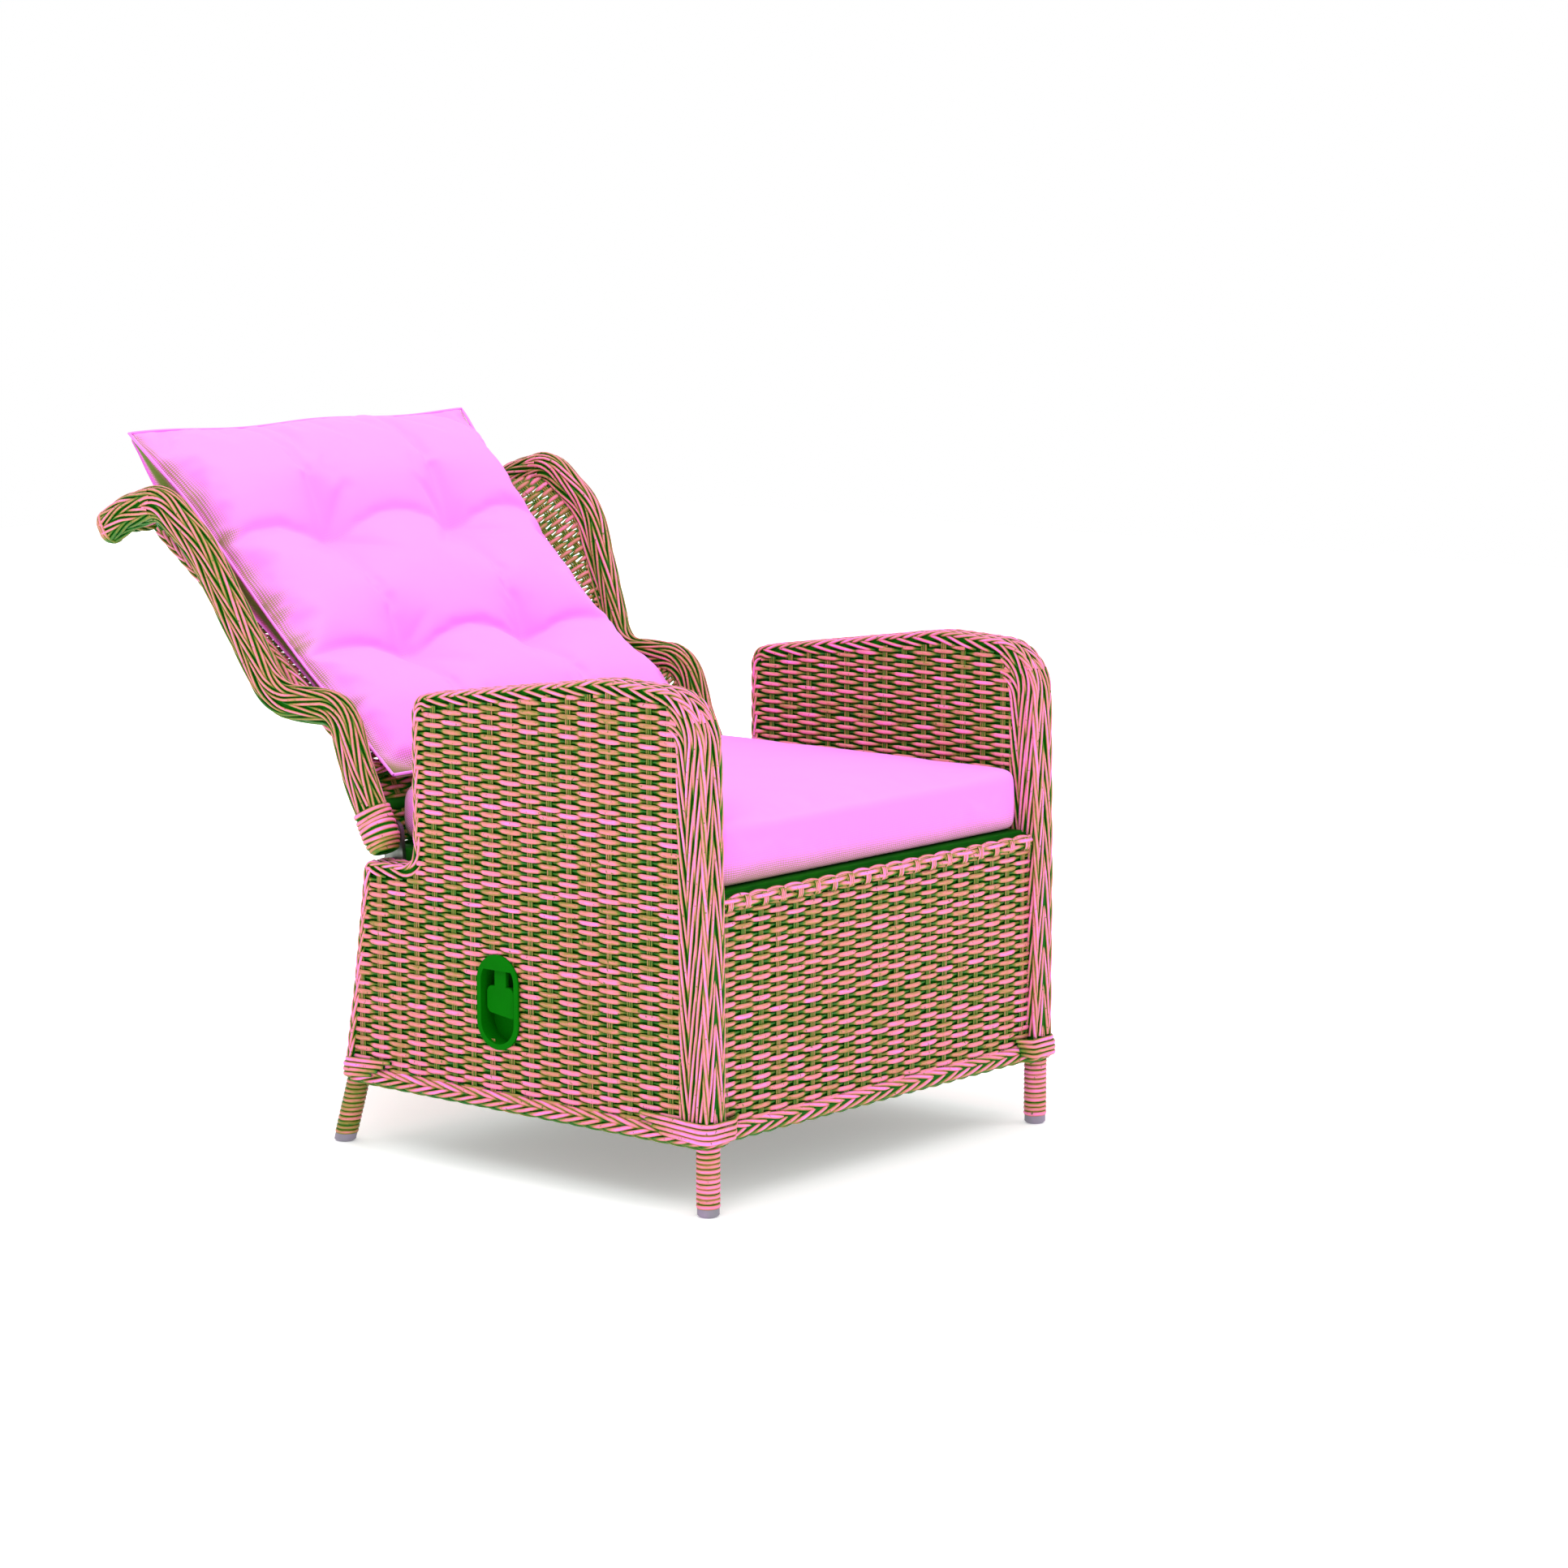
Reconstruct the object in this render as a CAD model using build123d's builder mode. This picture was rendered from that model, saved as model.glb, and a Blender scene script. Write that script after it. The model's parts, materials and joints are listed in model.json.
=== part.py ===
from build123d import *
import os
from math import atan2, cos, degrees, radians, sin, tan

# A reclining garden armchair in round wicker over an aluminium tube frame.
# Millimetres, +Z up. The chair faces -Y, and the sitter's right hand is at -X.
# The origin is on the floor, in the middle of the chair's width and depth.
# The rest pose is the chair fully reclined.

# Overall sizes
overall_width = 700.0
side_thickness = 41.0
seat_height = 391.0
hinge_over_seat = 21.0
hinge_height = seat_height + hinge_over_seat
hinge_depth = 552.0
arm_height = 647.0
fit_gap = 0.3

# Tubes
frame_tube_diameter = 25.0
frame_tube_wall = 1.8
back_tube_diameter = 22.0
back_tube_wall = 1.6
lower_tube_diameter = 18.0
seat_tube_side = 25.0
seat_tube_wall = 1.8

# Side panel outline, in the side view from the front feet's line
front_lip = 15.0
front_lean_height = 330.0
front_lean = 20.0
arm_front_height = 640.0
arm_peak_depth = 150.0
arm_ahead_of_hinge = 72.0
arm_rear_depth = hinge_depth - arm_ahead_of_hinge
arm_rear_height = 600.0
ledge_behind_hinge = 15.0
ledge_depth = hinge_depth + ledge_behind_hinge
ledge_under_hinge = 32.0
ledge_height = hinge_height - ledge_under_hinge
base_behind_hinge = 52.0
base_depth = hinge_depth + base_behind_hinge
foot_behind_base = 23.0
foot_spread = base_depth + foot_behind_base
arm_front_radius = 72.0
arm_peak_radius = 250.0
lean_radius = 300.0
arm_rear_radius = 30.0
notch_radius = 20.0
ledge_radius = 14.0
inner_front_radius = 35.0
inner_corner_radius = 10.0

# Braided edge widths on the side panel
front_braid_width = 45.0
top_braid_width = 20.0
rear_braid_width = 12.0
ledge_braid_width = 20.0

# Woven sheets and the rim
weave_thickness = 5.0
weave_recess = 1.5
rim_bottom = 84.0
rim_height = 26.0
rim_proud = 3.0
rim_round = 9.0
apron_thickness = 8.0
apron_front = 4.0
apron_braid_height = 17.0
apron_braid_depth = 14.0

# Side tubes inside the panels
tube_cover = 2.5
front_tube_lean = 17.0
frame_bend_radius = 30.0
front_bend_radius = 60.0
peak_bend_radius = 200.0
lean_bend_radius = 150.0
leg_bend_radius = 60.0
leg_bend_height = 108.0
leg_bend_inset = 12.0

# Legs and feet
leg_wrap_thickness = 2.8
foot_height = 11.0
foot_diameter = 27.5
foot_chamfer = 2.5
foot_spigot_length = 18.0

# Seat frame and deck
deck_thickness = 3.5
deck_border = 18.0
deck_hole = 56.0
deck_strap = 22.0
deck_ahead_of_hinge = 52.0
deck_rear = hinge_depth - deck_ahead_of_hinge
cross_tube_depth = 20.0
seat_tube_ahead_of_hinge = 87.0
rear_seat_tube_depth = hinge_depth - seat_tube_ahead_of_hinge
seat_tube_face = 302.0
seat_tube_behind_hinge = 18.0
seat_tube_end = hinge_depth + seat_tube_behind_hinge
front_rim_depth = 22.0
skirt_under_seat = 66.0
rear_top_height = seat_height - skirt_under_seat

# Seat cushion
cushion_front = 5.0
cushion_width = 598.0
cushion_ahead_of_hinge = 7.0
cushion_depth = hinge_depth - cushion_ahead_of_hinge - cushion_front
cushion_thickness = 82.0
cushion_crown = 7.0
cushion_end_crown = 1.0
cushion_side_bulge = 3.0
cushion_end_inset = 6.0
cushion_end_drop = 6.0
cushion_edge_rise = 5.0

# Reclining back, in its own side view: along the back from the hinge, and out in front of it
back_angle = 41.0
upright_travel = 38.0
rail_depth = 50.0
rail_thickness = 36.0
rail_offset = 332.0
ear_offset = 370.0
rail_start = 28.0
bump_along = 150.0
bump_out = 74.0
neck_along = 75.0
neck_out = 30.0
waist_along = 243.0
waist_out = -5.0
wing_along = 440.0
wing_out = 80.0
crest_along = 535.0
crest_out = 76.0
scroll_along = 574.0
scroll_out = 16.0
ear_tip_along = 592.0
ear_tip_out = -38.0
neck_radius = 150.0
bump_radius = 38.0
waist_radius = 55.0
wing_radius = 120.0
crest_radius = 45.0
scroll_radius = 80.0
ear_end_round = 15.0
ear_end_wall = 14.0

# Woven back panel, the tubes round it and their wound borders
panel_thickness = 8.0
panel_foot_along = 72.0
panel_foot_out = 26.0
panel_tube_offset = 300.0
border_diameter = 24.0
top_border_diameter = 30.0
top_tube_share = 0.55
lower_tube_rise = 13.0
stub_diameter = 12.0
wing_thickness = 5.0
gusset_start = 101.0
gusset_end = 190.0
wing_start = 300.0
wing_end = 560.0
wing_steps = 5

# Back cushion
pad_half_width = 296.0
pad_thickness = 113.0
tuft_spacing = 232.0
pad_length = 602.0
pad_flat_inset = 34.0

# Hinges
hinge_pin_diameter = 12.0
hinge_running_gap = 0.05
hinge_eye_diameter = 32.0
hinge_eye_width = 22.0
hinge_bush_diameter = 16.0
hinge_collar_radius = 27.0
hinge_collar_width = 40.0
hinge_collar_round = 8.0
hinge_bracket_thickness = 6.0
hinge_bracket_radius = 14.0
hinge_bracket_foot = 36.0
hinge_spacer_diameter = 18.0
hinge_head_diameter = 20.0
hinge_head_thickness = 4.0
hinge_spigot_length = 44.0

# Locking gas spring and the lever that it pushes
lever_radius = 68.0
lever_plate_thickness = 6.0
lever_plate_round = 11.0
lever_tube_round = 12.0
lever_tube_along = 42.0
lever_pin_diameter = 8.0
lever_pin_length = 24.0
spring_length = 215.0
spring_cylinder_diameter = 24.0
spring_cylinder_length = 140.0
spring_cylinder_wall = 1.5
spring_gland_length = 8.0
spring_rod_diameter = 10.0
spring_rod_inside = 70.0
spring_running_gap = 0.1
clevis_gap = 1.0
clevis_cheek = 4.0
clevis_height = 19.0
clevis_reach = 15.0
clevis_play = 2.4
clevis_slack = 0.5
clevis_end = 10.0
head_front = 30.0
head_rear = 13.0
head_width = 26.0
head_height = 22.0
spring_tube_offset = 20.0
spring_ear = 4.0
spring_ear_round = 10.0
spring_pin_overhang = 2.0

# Release lever in the right side panel
bezel_height = 121.0
bezel_width = 71.0
bezel_centre_depth = 330.0
bezel_centre_height = 224.0
bezel_flange = 2.5
bezel_lip = 4.0
bezel_wall = 3.0
bezel_depth = 25.0
pocket_top = 20.0
stem_slot_width = 22.0
stem_slot_height = 15.0
stem_width = 20.0
stem_boss_radius = 5.0
paddle_width = 46.0
paddle_top_drop = 41.0
paddle_height = 40.0
paddle_thickness = 5.0
paddle_round = 9.0
paddle_slant = 6.0
paddle_front_gap = 3.0
lever_axis_rise = 6.0
lever_axle_diameter = 4.0
lever_axle_length = 34.0
lever_axle_gap = 0.05

# Release cable
cable_bend_share = 0.45
cable_diameter = 5.0
cable_hole_diameter = 9.0
cable_exit_drop = 30.0
cable_inlet_lead = 22.0
clip_width = 10.0
clip_height = 16.0
clip_reach = 6.0
clip_offsets = [160.0, 100.0]

# Places worked out from the sizes above
half_width = overall_width / 2
inner_face = half_width - side_thickness
tube_offset = half_width - side_thickness / 2
tube_radius = frame_tube_diameter / 2
rim_top = rim_bottom + rim_height
deck_top = seat_height + deck_thickness
out_ratio = (sin(radians(back_angle)), cos(radians(back_angle)))


def back_point(along, out):
    """Depth and height, from the front feet's line, of a point given in the back's own view."""
    depth = hinge_depth + along * out_ratio[1] - out * out_ratio[0]
    height = hinge_height + along * out_ratio[0] + out * out_ratio[1]
    return depth, height


rear_reach = back_point(ear_tip_along, ear_tip_out - rail_depth / 2)[0]
depth_centre = (rear_reach - front_lip - rim_proud) / 2


def side_plane(offset):
    """The side view at one offset across the chair, measured from the front feet's line."""
    return Plane(origin=(offset, -depth_centre, 0), x_dir=(0, 1, 0), z_dir=(1, 0, 0))


def floor_plane(height):
    return Plane(origin=(0, -depth_centre, height), x_dir=(1, 0, 0), z_dir=(0, 0, 1))


def cross_plane(depth):
    """A plane across the chair at one depth: its own x is the chair's, its y is up."""
    return Plane(origin=(0, depth - depth_centre, 0), x_dir=(1, 0, 0), z_dir=(0, -1, 0))


def back_plane(offset):
    """The back's own side view: x runs up along the back, y out in front of it."""
    return Plane(
        origin=(offset, hinge_depth - depth_centre, hinge_height),
        x_dir=(0, out_ratio[1], out_ratio[0]),
        z_dir=(1, 0, 0),
    )


def back_section_plane(along):
    """A plane across the back at one place along it: x across the chair, y out in front."""
    depth, height = back_point(along, 0)
    return Plane(
        origin=(0, depth - depth_centre, height),
        x_dir=(1, 0, 0),
        z_dir=(0, -out_ratio[1], -out_ratio[0]),
    )


def rail_place(along):
    """Offset of the back rail's centre across the chair: the ears flare out above the waist."""
    share = (along - waist_along) / (wing_along - waist_along)
    return rail_offset + (ear_offset - rail_offset) * min(max(share, 0), 1)


os.makedirs("parts", exist_ok=True)


def keep(piece, label):
    piece.part.label = label
    export_step(piece.part, f"parts/{label}.step")


# Side panel outline: the outer edge, and the inner edge of its braid
front_corner = front_lean - front_lip
panel_outline = [
    (-front_lip, rim_top),
    (-front_lip, front_lean_height),
    (front_corner, arm_front_height),
    (arm_peak_depth, arm_height),
    (arm_rear_depth, arm_rear_height),
    (arm_rear_depth, ledge_height),
    (ledge_depth, ledge_height),
    (base_depth, rim_top),
]
panel_radii = [
    0,
    lean_radius,
    arm_front_radius,
    arm_peak_radius,
    arm_rear_radius,
    notch_radius,
    ledge_radius,
    0,
]
field_outline = [
    (front_braid_width - front_lip, rim_top),
    (front_braid_width - front_lip, front_lean_height),
    (front_braid_width - front_lip + front_corner, arm_front_height - top_braid_width),
    (arm_peak_depth, arm_height - top_braid_width),
    (arm_rear_depth - rear_braid_width, arm_rear_height - top_braid_width),
    (arm_rear_depth - rear_braid_width, ledge_height - ledge_braid_width),
    (ledge_depth - rear_braid_width, ledge_height - ledge_braid_width),
    (base_depth - rear_braid_width, rim_top),
]
field_radii = [
    0,
    lean_radius,
    inner_front_radius,
    arm_peak_radius,
    inner_corner_radius,
    notch_radius,
    inner_corner_radius,
    0,
]

# Path of the side tube: up the front leg, over the arm, down to the ledge and into the rear leg
tube_inset = tube_radius + tube_cover
tube_path = [
    (0, foot_height),
    (0, front_lean_height),
    (front_tube_lean, arm_front_height - tube_inset),
    (arm_peak_depth, arm_height - tube_inset),
    (arm_rear_depth - tube_inset, arm_rear_height - tube_inset),
    (arm_rear_depth - tube_inset, ledge_height - tube_inset),
    (ledge_depth - tube_inset, ledge_height - tube_inset),
    (base_depth - leg_bend_inset, leg_bend_height),
    (foot_spread, 0),
]
tube_radii = [
    lean_bend_radius,
    front_bend_radius,
    peak_bend_radius,
    frame_bend_radius,
    frame_bend_radius,
    frame_bend_radius,
    leg_bend_radius,
]

# Path of the back rail, from above the collar to the ear's tip
rail_angle = atan2(neck_out, neck_along)
rail_stations = [
    (neck_along, neck_out),
    (bump_along, bump_out),
    (waist_along, waist_out),
    (wing_along, wing_out),
    (crest_along, crest_out),
    (scroll_along, scroll_out),
    (ear_tip_along, ear_tip_out),
]
rail_radii = [
    neck_radius,
    bump_radius,
    waist_radius,
    wing_radius,
    crest_radius,
    scroll_radius,
]


def section_at(line):
    """A plane square to a path at its start, with its x across the chair."""
    return Plane(origin=line @ 0, x_dir=(1, 0, 0), z_dir=line % 0)


def side_tube_line(hand):
    with BuildLine(side_plane(hand * tube_offset)) as line:
        FilletPolyline(*tube_path, radius=tube_radii)
    return line.line


def keep_pair(piece, label):
    """A pair of pieces, made at the left and mirrored to the right, in one node."""
    with BuildPart() as pair:
        add(piece.part)
        mirror(about=Plane.YZ)
    keep(pair, label)


def tube_bend(line, outer, inner=0):
    """A round bar or tube along a path."""
    with BuildPart() as bar:
        with BuildSketch(section_at(line)):
            Circle(outer)
            if inner:
                Circle(inner, mode=Mode.SUBTRACT)
        sweep(path=line)
    return bar


def cross_bar(centre, near, far, outer, inner=0):
    """A round bar or tube across the chair, between two offsets."""
    with BuildPart() as bar:
        with BuildSketch(side_plane(near)):
            with Locations(centre):
                Circle(outer)
                if inner:
                    Circle(inner, mode=Mode.SUBTRACT)
        extrude(amount=far - near)
    return bar


def box_tube(depth, height, near, far):
    """A flat-sided tube across the chair, its lower front edge at one depth and height."""
    with BuildPart() as tube:
        with BuildSketch(side_plane(near)):
            with Locations((depth + cross_tube_depth / 2, height + seat_tube_side / 2)):
                Rectangle(cross_tube_depth, seat_tube_side)
                Rectangle(
                    cross_tube_depth - 2 * seat_tube_wall,
                    seat_tube_side - 2 * seat_tube_wall,
                    mode=Mode.SUBTRACT,
                )
        extrude(amount=far - near)
    return tube


def box_space(depth, height, reach):
    """The space that a flat-sided cross tube takes, with its clearance."""
    with BuildPart() as space:
        with BuildSketch(side_plane(-reach)):
            with Locations((depth + cross_tube_depth / 2, height + seat_tube_side / 2)):
                Rectangle(cross_tube_depth + 2 * fit_gap, seat_tube_side + 2 * fit_gap)
        extrude(amount=2 * reach)
    return space.part


# Places of the seat frame's tubes
lower_tube_radius = lower_tube_diameter / 2
seat_tube_foot = seat_height - seat_tube_side
front_tube_depth = apron_thickness - apron_front + 2 * fit_gap
weld_face = tube_offset - tube_radius - fit_gap
rim_inner = inner_face - rim_proud
rim_centre = rim_bottom + rim_height / 2
front_rim_centre = front_rim_depth / 2 - apron_front - rim_proud
rear_rim_centre = base_depth + rim_proud - front_rim_depth / 2
front_tube_space = box_space(front_tube_depth, seat_tube_foot, weld_face)
rear_tube_space = box_space(rear_seat_tube_depth - cross_tube_depth / 2, seat_tube_foot, weld_face)
lower_tube_spaces = [
    cross_bar((depth, rim_centre), -tube_offset, tube_offset, lower_tube_radius + fit_gap).part
    for depth in (front_rim_centre, rear_rim_centre)
]

for side, hand in (("right", -1), ("left", 1)):
    near = min(hand * half_width, hand * inner_face)
    tube_line = side_tube_line(hand)
    tube_space = tube_bend(tube_line, tube_radius + fit_gap).part

    # Side frame: one bent tube that is both legs and the arm
    with BuildPart() as side_frame:
        with BuildSketch(section_at(tube_line)):
            Circle(tube_radius)
            Circle(tube_radius - frame_tube_wall, mode=Mode.SUBTRACT)
        sweep(path=tube_line)
        split(bisect_by=Plane.XY.offset(foot_height), keep=Keep.TOP)
    keep(side_frame, f"{side}_side_frame")

    # Braided edge of the arm, wrapped over the tube
    with BuildPart() as arm_braid:
        with BuildSketch(side_plane(near)):
            with BuildLine():
                FilletPolyline(*panel_outline, radius=panel_radii, close=True)
            make_face()
            with BuildLine(mode=Mode.PRIVATE) as field:
                FilletPolyline(*field_outline, radius=field_radii, close=True)
            make_face(field.edges(), mode=Mode.SUBTRACT)
        extrude(amount=side_thickness)
        add(tube_space, mode=Mode.SUBTRACT)
        add(front_tube_space, mode=Mode.SUBTRACT)
        add(rear_tube_space, mode=Mode.SUBTRACT)
    keep(arm_braid, f"{side}_arm_braid")

    # Woven sheets on the outer and inner faces
    for face_name, distance in (
        ("outer", half_width - weave_recess - weave_thickness),
        ("inner", inner_face + weave_recess),
    ):
        start = distance if hand > 0 else -distance - weave_thickness
        with BuildPart() as weave:
            with BuildSketch(side_plane(start)):
                with BuildLine():
                    FilletPolyline(*field_outline, radius=field_radii, close=True)
                make_face()
                if side == "right":
                    with Locations((bezel_centre_depth, bezel_centre_height)):
                        if face_name == "outer":
                            SlotOverall(
                                bezel_height - 2 * bezel_lip,
                                bezel_width - 2 * bezel_lip,
                                rotation=90,
                                mode=Mode.SUBTRACT,
                            )
                        else:
                            with Locations((0, bezel_height / 2 - cable_exit_drop)):
                                Circle(cable_hole_diameter / 2, mode=Mode.SUBTRACT)
            extrude(amount=weave_thickness)
            add(rear_tube_space, mode=Mode.SUBTRACT)
        keep(weave, f"{side}_{face_name}_weave")

    # Bottom rim under the side panel, with the leg tubes through it
    with BuildPart() as rim:
        with BuildSketch(side_plane(near - rim_proud)):
            with BuildLine():
                Polyline(
                    (-front_lip - rim_proud, rim_bottom),
                    (-front_lip - rim_proud, rim_top),
                    (base_depth, rim_top),
                    (base_depth + rim_proud, rim_bottom),
                    close=True,
                )
            make_face()
        extrude(amount=side_thickness + 2 * rim_proud)
        fillet(rim.edges().filter_by(Axis.Y), radius=rim_round)
        add(tube_space, mode=Mode.SUBTRACT)
        for space in lower_tube_spaces:
            add(space, mode=Mode.SUBTRACT)
    keep(rim, f"{side}_rim")

# Leg wraps: wound strands round each leg between the rim and the foot
wrap_radius = tube_radius + leg_wrap_thickness
rear_leg_run = (foot_spread - (base_depth - leg_bend_inset)) / leg_bend_height
rear_leg_tilt = atan2(rear_leg_run, 1)


def leg_plane(hand, depth, tilt):
    """A plane square to a leg, at floor level on its centre line."""
    return Plane(
        origin=(hand * tube_offset, depth - depth_centre, 0),
        x_dir=(1, 0, 0),
        z_dir=(0, -sin(tilt), cos(tilt)),
    )


def leg_pair(depth, tilt, outer, inner, bottom, top):
    """A round piece on both legs of a pair, cut level at its bottom and top."""
    with BuildPart() as pair:
        for hand in (-1, 1):
            with BuildSketch(leg_plane(hand, depth, tilt)):
                Circle(outer)
                if inner:
                    Circle(inner, mode=Mode.SUBTRACT)
            extrude(amount=2 * top, both=True)
        split(bisect_by=Plane.XY.offset(bottom), keep=Keep.TOP)
        split(bisect_by=Plane.XY.offset(top), keep=Keep.BOTTOM)
    return pair


legs = (("front", 0, 0), ("rear", foot_spread, rear_leg_tilt))
with BuildPart() as leg_wraps:
    for name, depth, tilt in legs:
        wrap = leg_pair(depth, tilt, wrap_radius, tube_radius + fit_gap, foot_height, rim_bottom)
        add(wrap.part)
keep(leg_wraps, "leg_wraps")

# Plastic feet, each a cap with a spigot up inside the leg tube
for name, depth, tilt in legs:
    spigot = leg_pair(
        depth, tilt, tube_radius - frame_tube_wall - fit_gap, 0, 0, foot_height + foot_spigot_length
    )
    with BuildPart() as feet:
        add(leg_pair(depth, tilt, foot_diameter / 2, 0, 0, foot_height).part)
        chamfer(feet.faces().filter_by(Plane.XY).group_by(Axis.Z)[0].edges(), foot_chamfer)
        add(spigot.part)
    keep(feet, f"{name}_feet")

# Front apron: a woven sheet under a braided rail
apron_top = seat_height - fit_gap - apron_braid_height
for name, low, high, front, back in (
    ("front_apron", rim_top, apron_top, -apron_front, apron_thickness - apron_front),
    (
        "apron_top_rail",
        apron_top + fit_gap,
        apron_top + fit_gap + apron_braid_height,
        apron_thickness - apron_front - apron_braid_depth,
        apron_thickness - apron_front,
    ),
):
    with BuildPart() as apron:
        with BuildSketch(cross_plane(back)):
            with Locations((0, (low + high) / 2)):
                Rectangle(2 * (inner_face - fit_gap), high - low)
        extrude(amount=back - front)
        if name == "apron_top_rail":
            front_edges = apron.edges().filter_by(Axis.X).group_by(Axis.Y)[0]
            fillet(front_edges, radius=apron_braid_height / 3)
    keep(apron, name)

# Rear skirt: a sheet that leans like the side panels' rear edges, under a braided rail
rear_slope = (base_depth - ledge_depth) / (ledge_height - rim_top)
rear_face = base_depth - apron_front
for name, low, high, thick in (
    ("rear_skirt", rim_top + fit_gap, rear_top_height - apron_braid_height, apron_thickness),
    (
        "rear_skirt_rail",
        rear_top_height - apron_braid_height + fit_gap,
        rear_top_height,
        apron_braid_depth,
    ),
):
    rear_low = rear_face - (low - rim_top) * rear_slope
    rear_high = rear_face - (high - rim_top) * rear_slope
    with BuildPart() as skirt:
        with BuildSketch(side_plane(-inner_face + fit_gap)):
            with BuildLine():
                Polyline(
                    (rear_low, low),
                    (rear_high, high),
                    (rear_high - thick, high),
                    (rear_low - thick, low),
                    close=True,
                )
            make_face()
        extrude(amount=2 * (inner_face - fit_gap))
        if name == "rear_skirt_rail":
            fillet(skirt.edges().filter_by(Axis.X), radius=apron_braid_depth / 4)
    keep(skirt, name)

# Front and rear rims, each wound round a lower cross tube
rim_places = [(depth, rim_centre) for depth in (front_rim_centre, rear_rim_centre)]
with BuildPart() as end_rims:
    with BuildSketch(side_plane(-rim_inner + fit_gap)):
        with Locations(*rim_places):
            RectangleRounded(front_rim_depth, rim_height, rim_round)
            Circle(lower_tube_radius + fit_gap, mode=Mode.SUBTRACT)
    extrude(amount=2 * (rim_inner - fit_gap))
keep(end_rims, "end_rims")
with BuildPart() as lower_cross_tubes:
    with BuildSketch(side_plane(-weld_face)):
        with Locations(*rim_places):
            Circle(lower_tube_radius)
            Circle(lower_tube_radius - back_tube_wall, mode=Mode.SUBTRACT)
    extrude(amount=2 * weld_face)
keep(lower_cross_tubes, "lower_cross_tubes")

# Seat frame: two long tubes between cross tubes that run out to the side frames
seat_tube_inner = seat_tube_face - seat_tube_side
keep(box_tube(front_tube_depth, seat_tube_foot, -weld_face, weld_face), "front_seat_tube")
rear_tube_front = rear_seat_tube_depth - cross_tube_depth / 2
spring_tube_front = hinge_depth - lever_radius * sin(radians(upright_travel / 2)) - spring_length
spring_tube_front = spring_tube_front - spring_tube_offset - cross_tube_depth / 2
cross_reach = seat_tube_inner - fit_gap
with BuildPart() as seat_cross_tubes:
    for front in (spring_tube_front, rear_tube_front):
        add(box_tube(front, seat_tube_foot, -cross_reach, cross_reach).part)
keep(seat_cross_tubes, "seat_cross_tubes")
keep_pair(
    box_tube(rear_tube_front, seat_tube_foot, seat_tube_face + fit_gap, weld_face), "seat_stubs"
)

side_tube_front = front_tube_depth + cross_tube_depth + fit_gap
with BuildPart() as seat_tube:
    with BuildSketch(cross_plane(side_tube_front)):
        with Locations((seat_tube_face - seat_tube_side / 2, seat_height - seat_tube_side / 2)):
            RectangleRounded(seat_tube_side, seat_tube_side, seat_tube_wall)
            Rectangle(
                seat_tube_side - 2 * seat_tube_wall,
                seat_tube_side - 2 * seat_tube_wall,
                mode=Mode.SUBTRACT,
            )
    extrude(amount=side_tube_front - seat_tube_end)
keep_pair(seat_tube, "seat_side_tubes")

# Seat deck: a flat net of straps on the seat frame
deck_pitch = deck_hole + deck_strap
deck_front = front_tube_depth
deck_width = 2 * seat_tube_face
deck_length = deck_rear - deck_front
deck_columns = int((deck_width - 2 * deck_border + deck_strap) // deck_pitch)
deck_rows = int((deck_length - 2 * deck_border + deck_strap) // deck_pitch)
with BuildPart() as seat_deck:
    with BuildSketch(floor_plane(seat_height)):
        with Locations((0, (deck_front + deck_rear) / 2)):
            Rectangle(deck_width, deck_length)
            with GridLocations(deck_pitch, deck_pitch, deck_columns, deck_rows):
                Rectangle(deck_hole, deck_hole, mode=Mode.SUBTRACT)
    extrude(amount=deck_thickness)
keep(seat_deck, "seat_deck")

# Seat cushion: crowned, with sides that bulge a little and ends that draw in
cushion_foot = deck_top + fit_gap
seat_station_shares = [
    (0, 1, 1),
    (0.03, 0.25, 0.3),
    (0.12, 0, 0),
    (0.5, 0, 0),
    (0.88, 0, 0),
    (0.97, 0.25, 0.3),
    (1, 1, 1),
]
with BuildPart() as seat_cushion:
    for along_share, inset_share, drop_share in seat_station_shares:
        inset = cushion_end_inset * inset_share
        drop = cushion_end_drop * drop_share
        half = cushion_width / 2 - cushion_side_bulge - inset
        low = cushion_foot + cushion_edge_rise * drop_share
        high = cushion_foot + cushion_thickness - drop
        crown = high + cushion_end_crown + (cushion_crown - cushion_end_crown) * (1 - drop_share)
        middle = (low + high) / 2
        with BuildSketch(cross_plane(cushion_front + cushion_depth * along_share)):
            with BuildLine():
                Line((-half, low), (half, low))
                ThreePointArc((half, low), (half + cushion_side_bulge, middle), (half, high))
                ThreePointArc((half, high), (0, crown), (-half, high))
                ThreePointArc((-half, high), (-half - cushion_side_bulge, middle), (-half, low))
            make_face()
    loft()
keep(seat_cushion, "seat_cushion")


def rail_line(hand, start, end_trim=0):
    """The back rail's centre line, from a distance above the hinge axis to near the ear's tip."""
    run = (ear_tip_along - scroll_along, ear_tip_out - scroll_out)
    share = 1 - end_trim / (run[0] ** 2 + run[1] ** 2) ** 0.5
    last = (scroll_along + run[0] * share, scroll_out + run[1] * share)
    first = (start * cos(rail_angle), start * sin(rail_angle))
    points = [first] + rail_stations[:-1] + [last]
    spread = [(along, out, hand * rail_place(along)) for along, out in points]
    with BuildLine(back_plane(0)) as line:
        FilletPolyline(*spread, radius=rail_radii)
    return line.line


def rail_out(along):
    """How far out in front of the hinge axis the rail's centre is, at one place along the back."""
    low, high = 0, 1
    for _ in range(halvings):
        middle = (low + high) / 2
        point = back_plane(0).to_local_coords(rail_centre_line @ middle)
        if point.X < along:
            low = middle
        else:
            high = middle
    return point.Y


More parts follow.
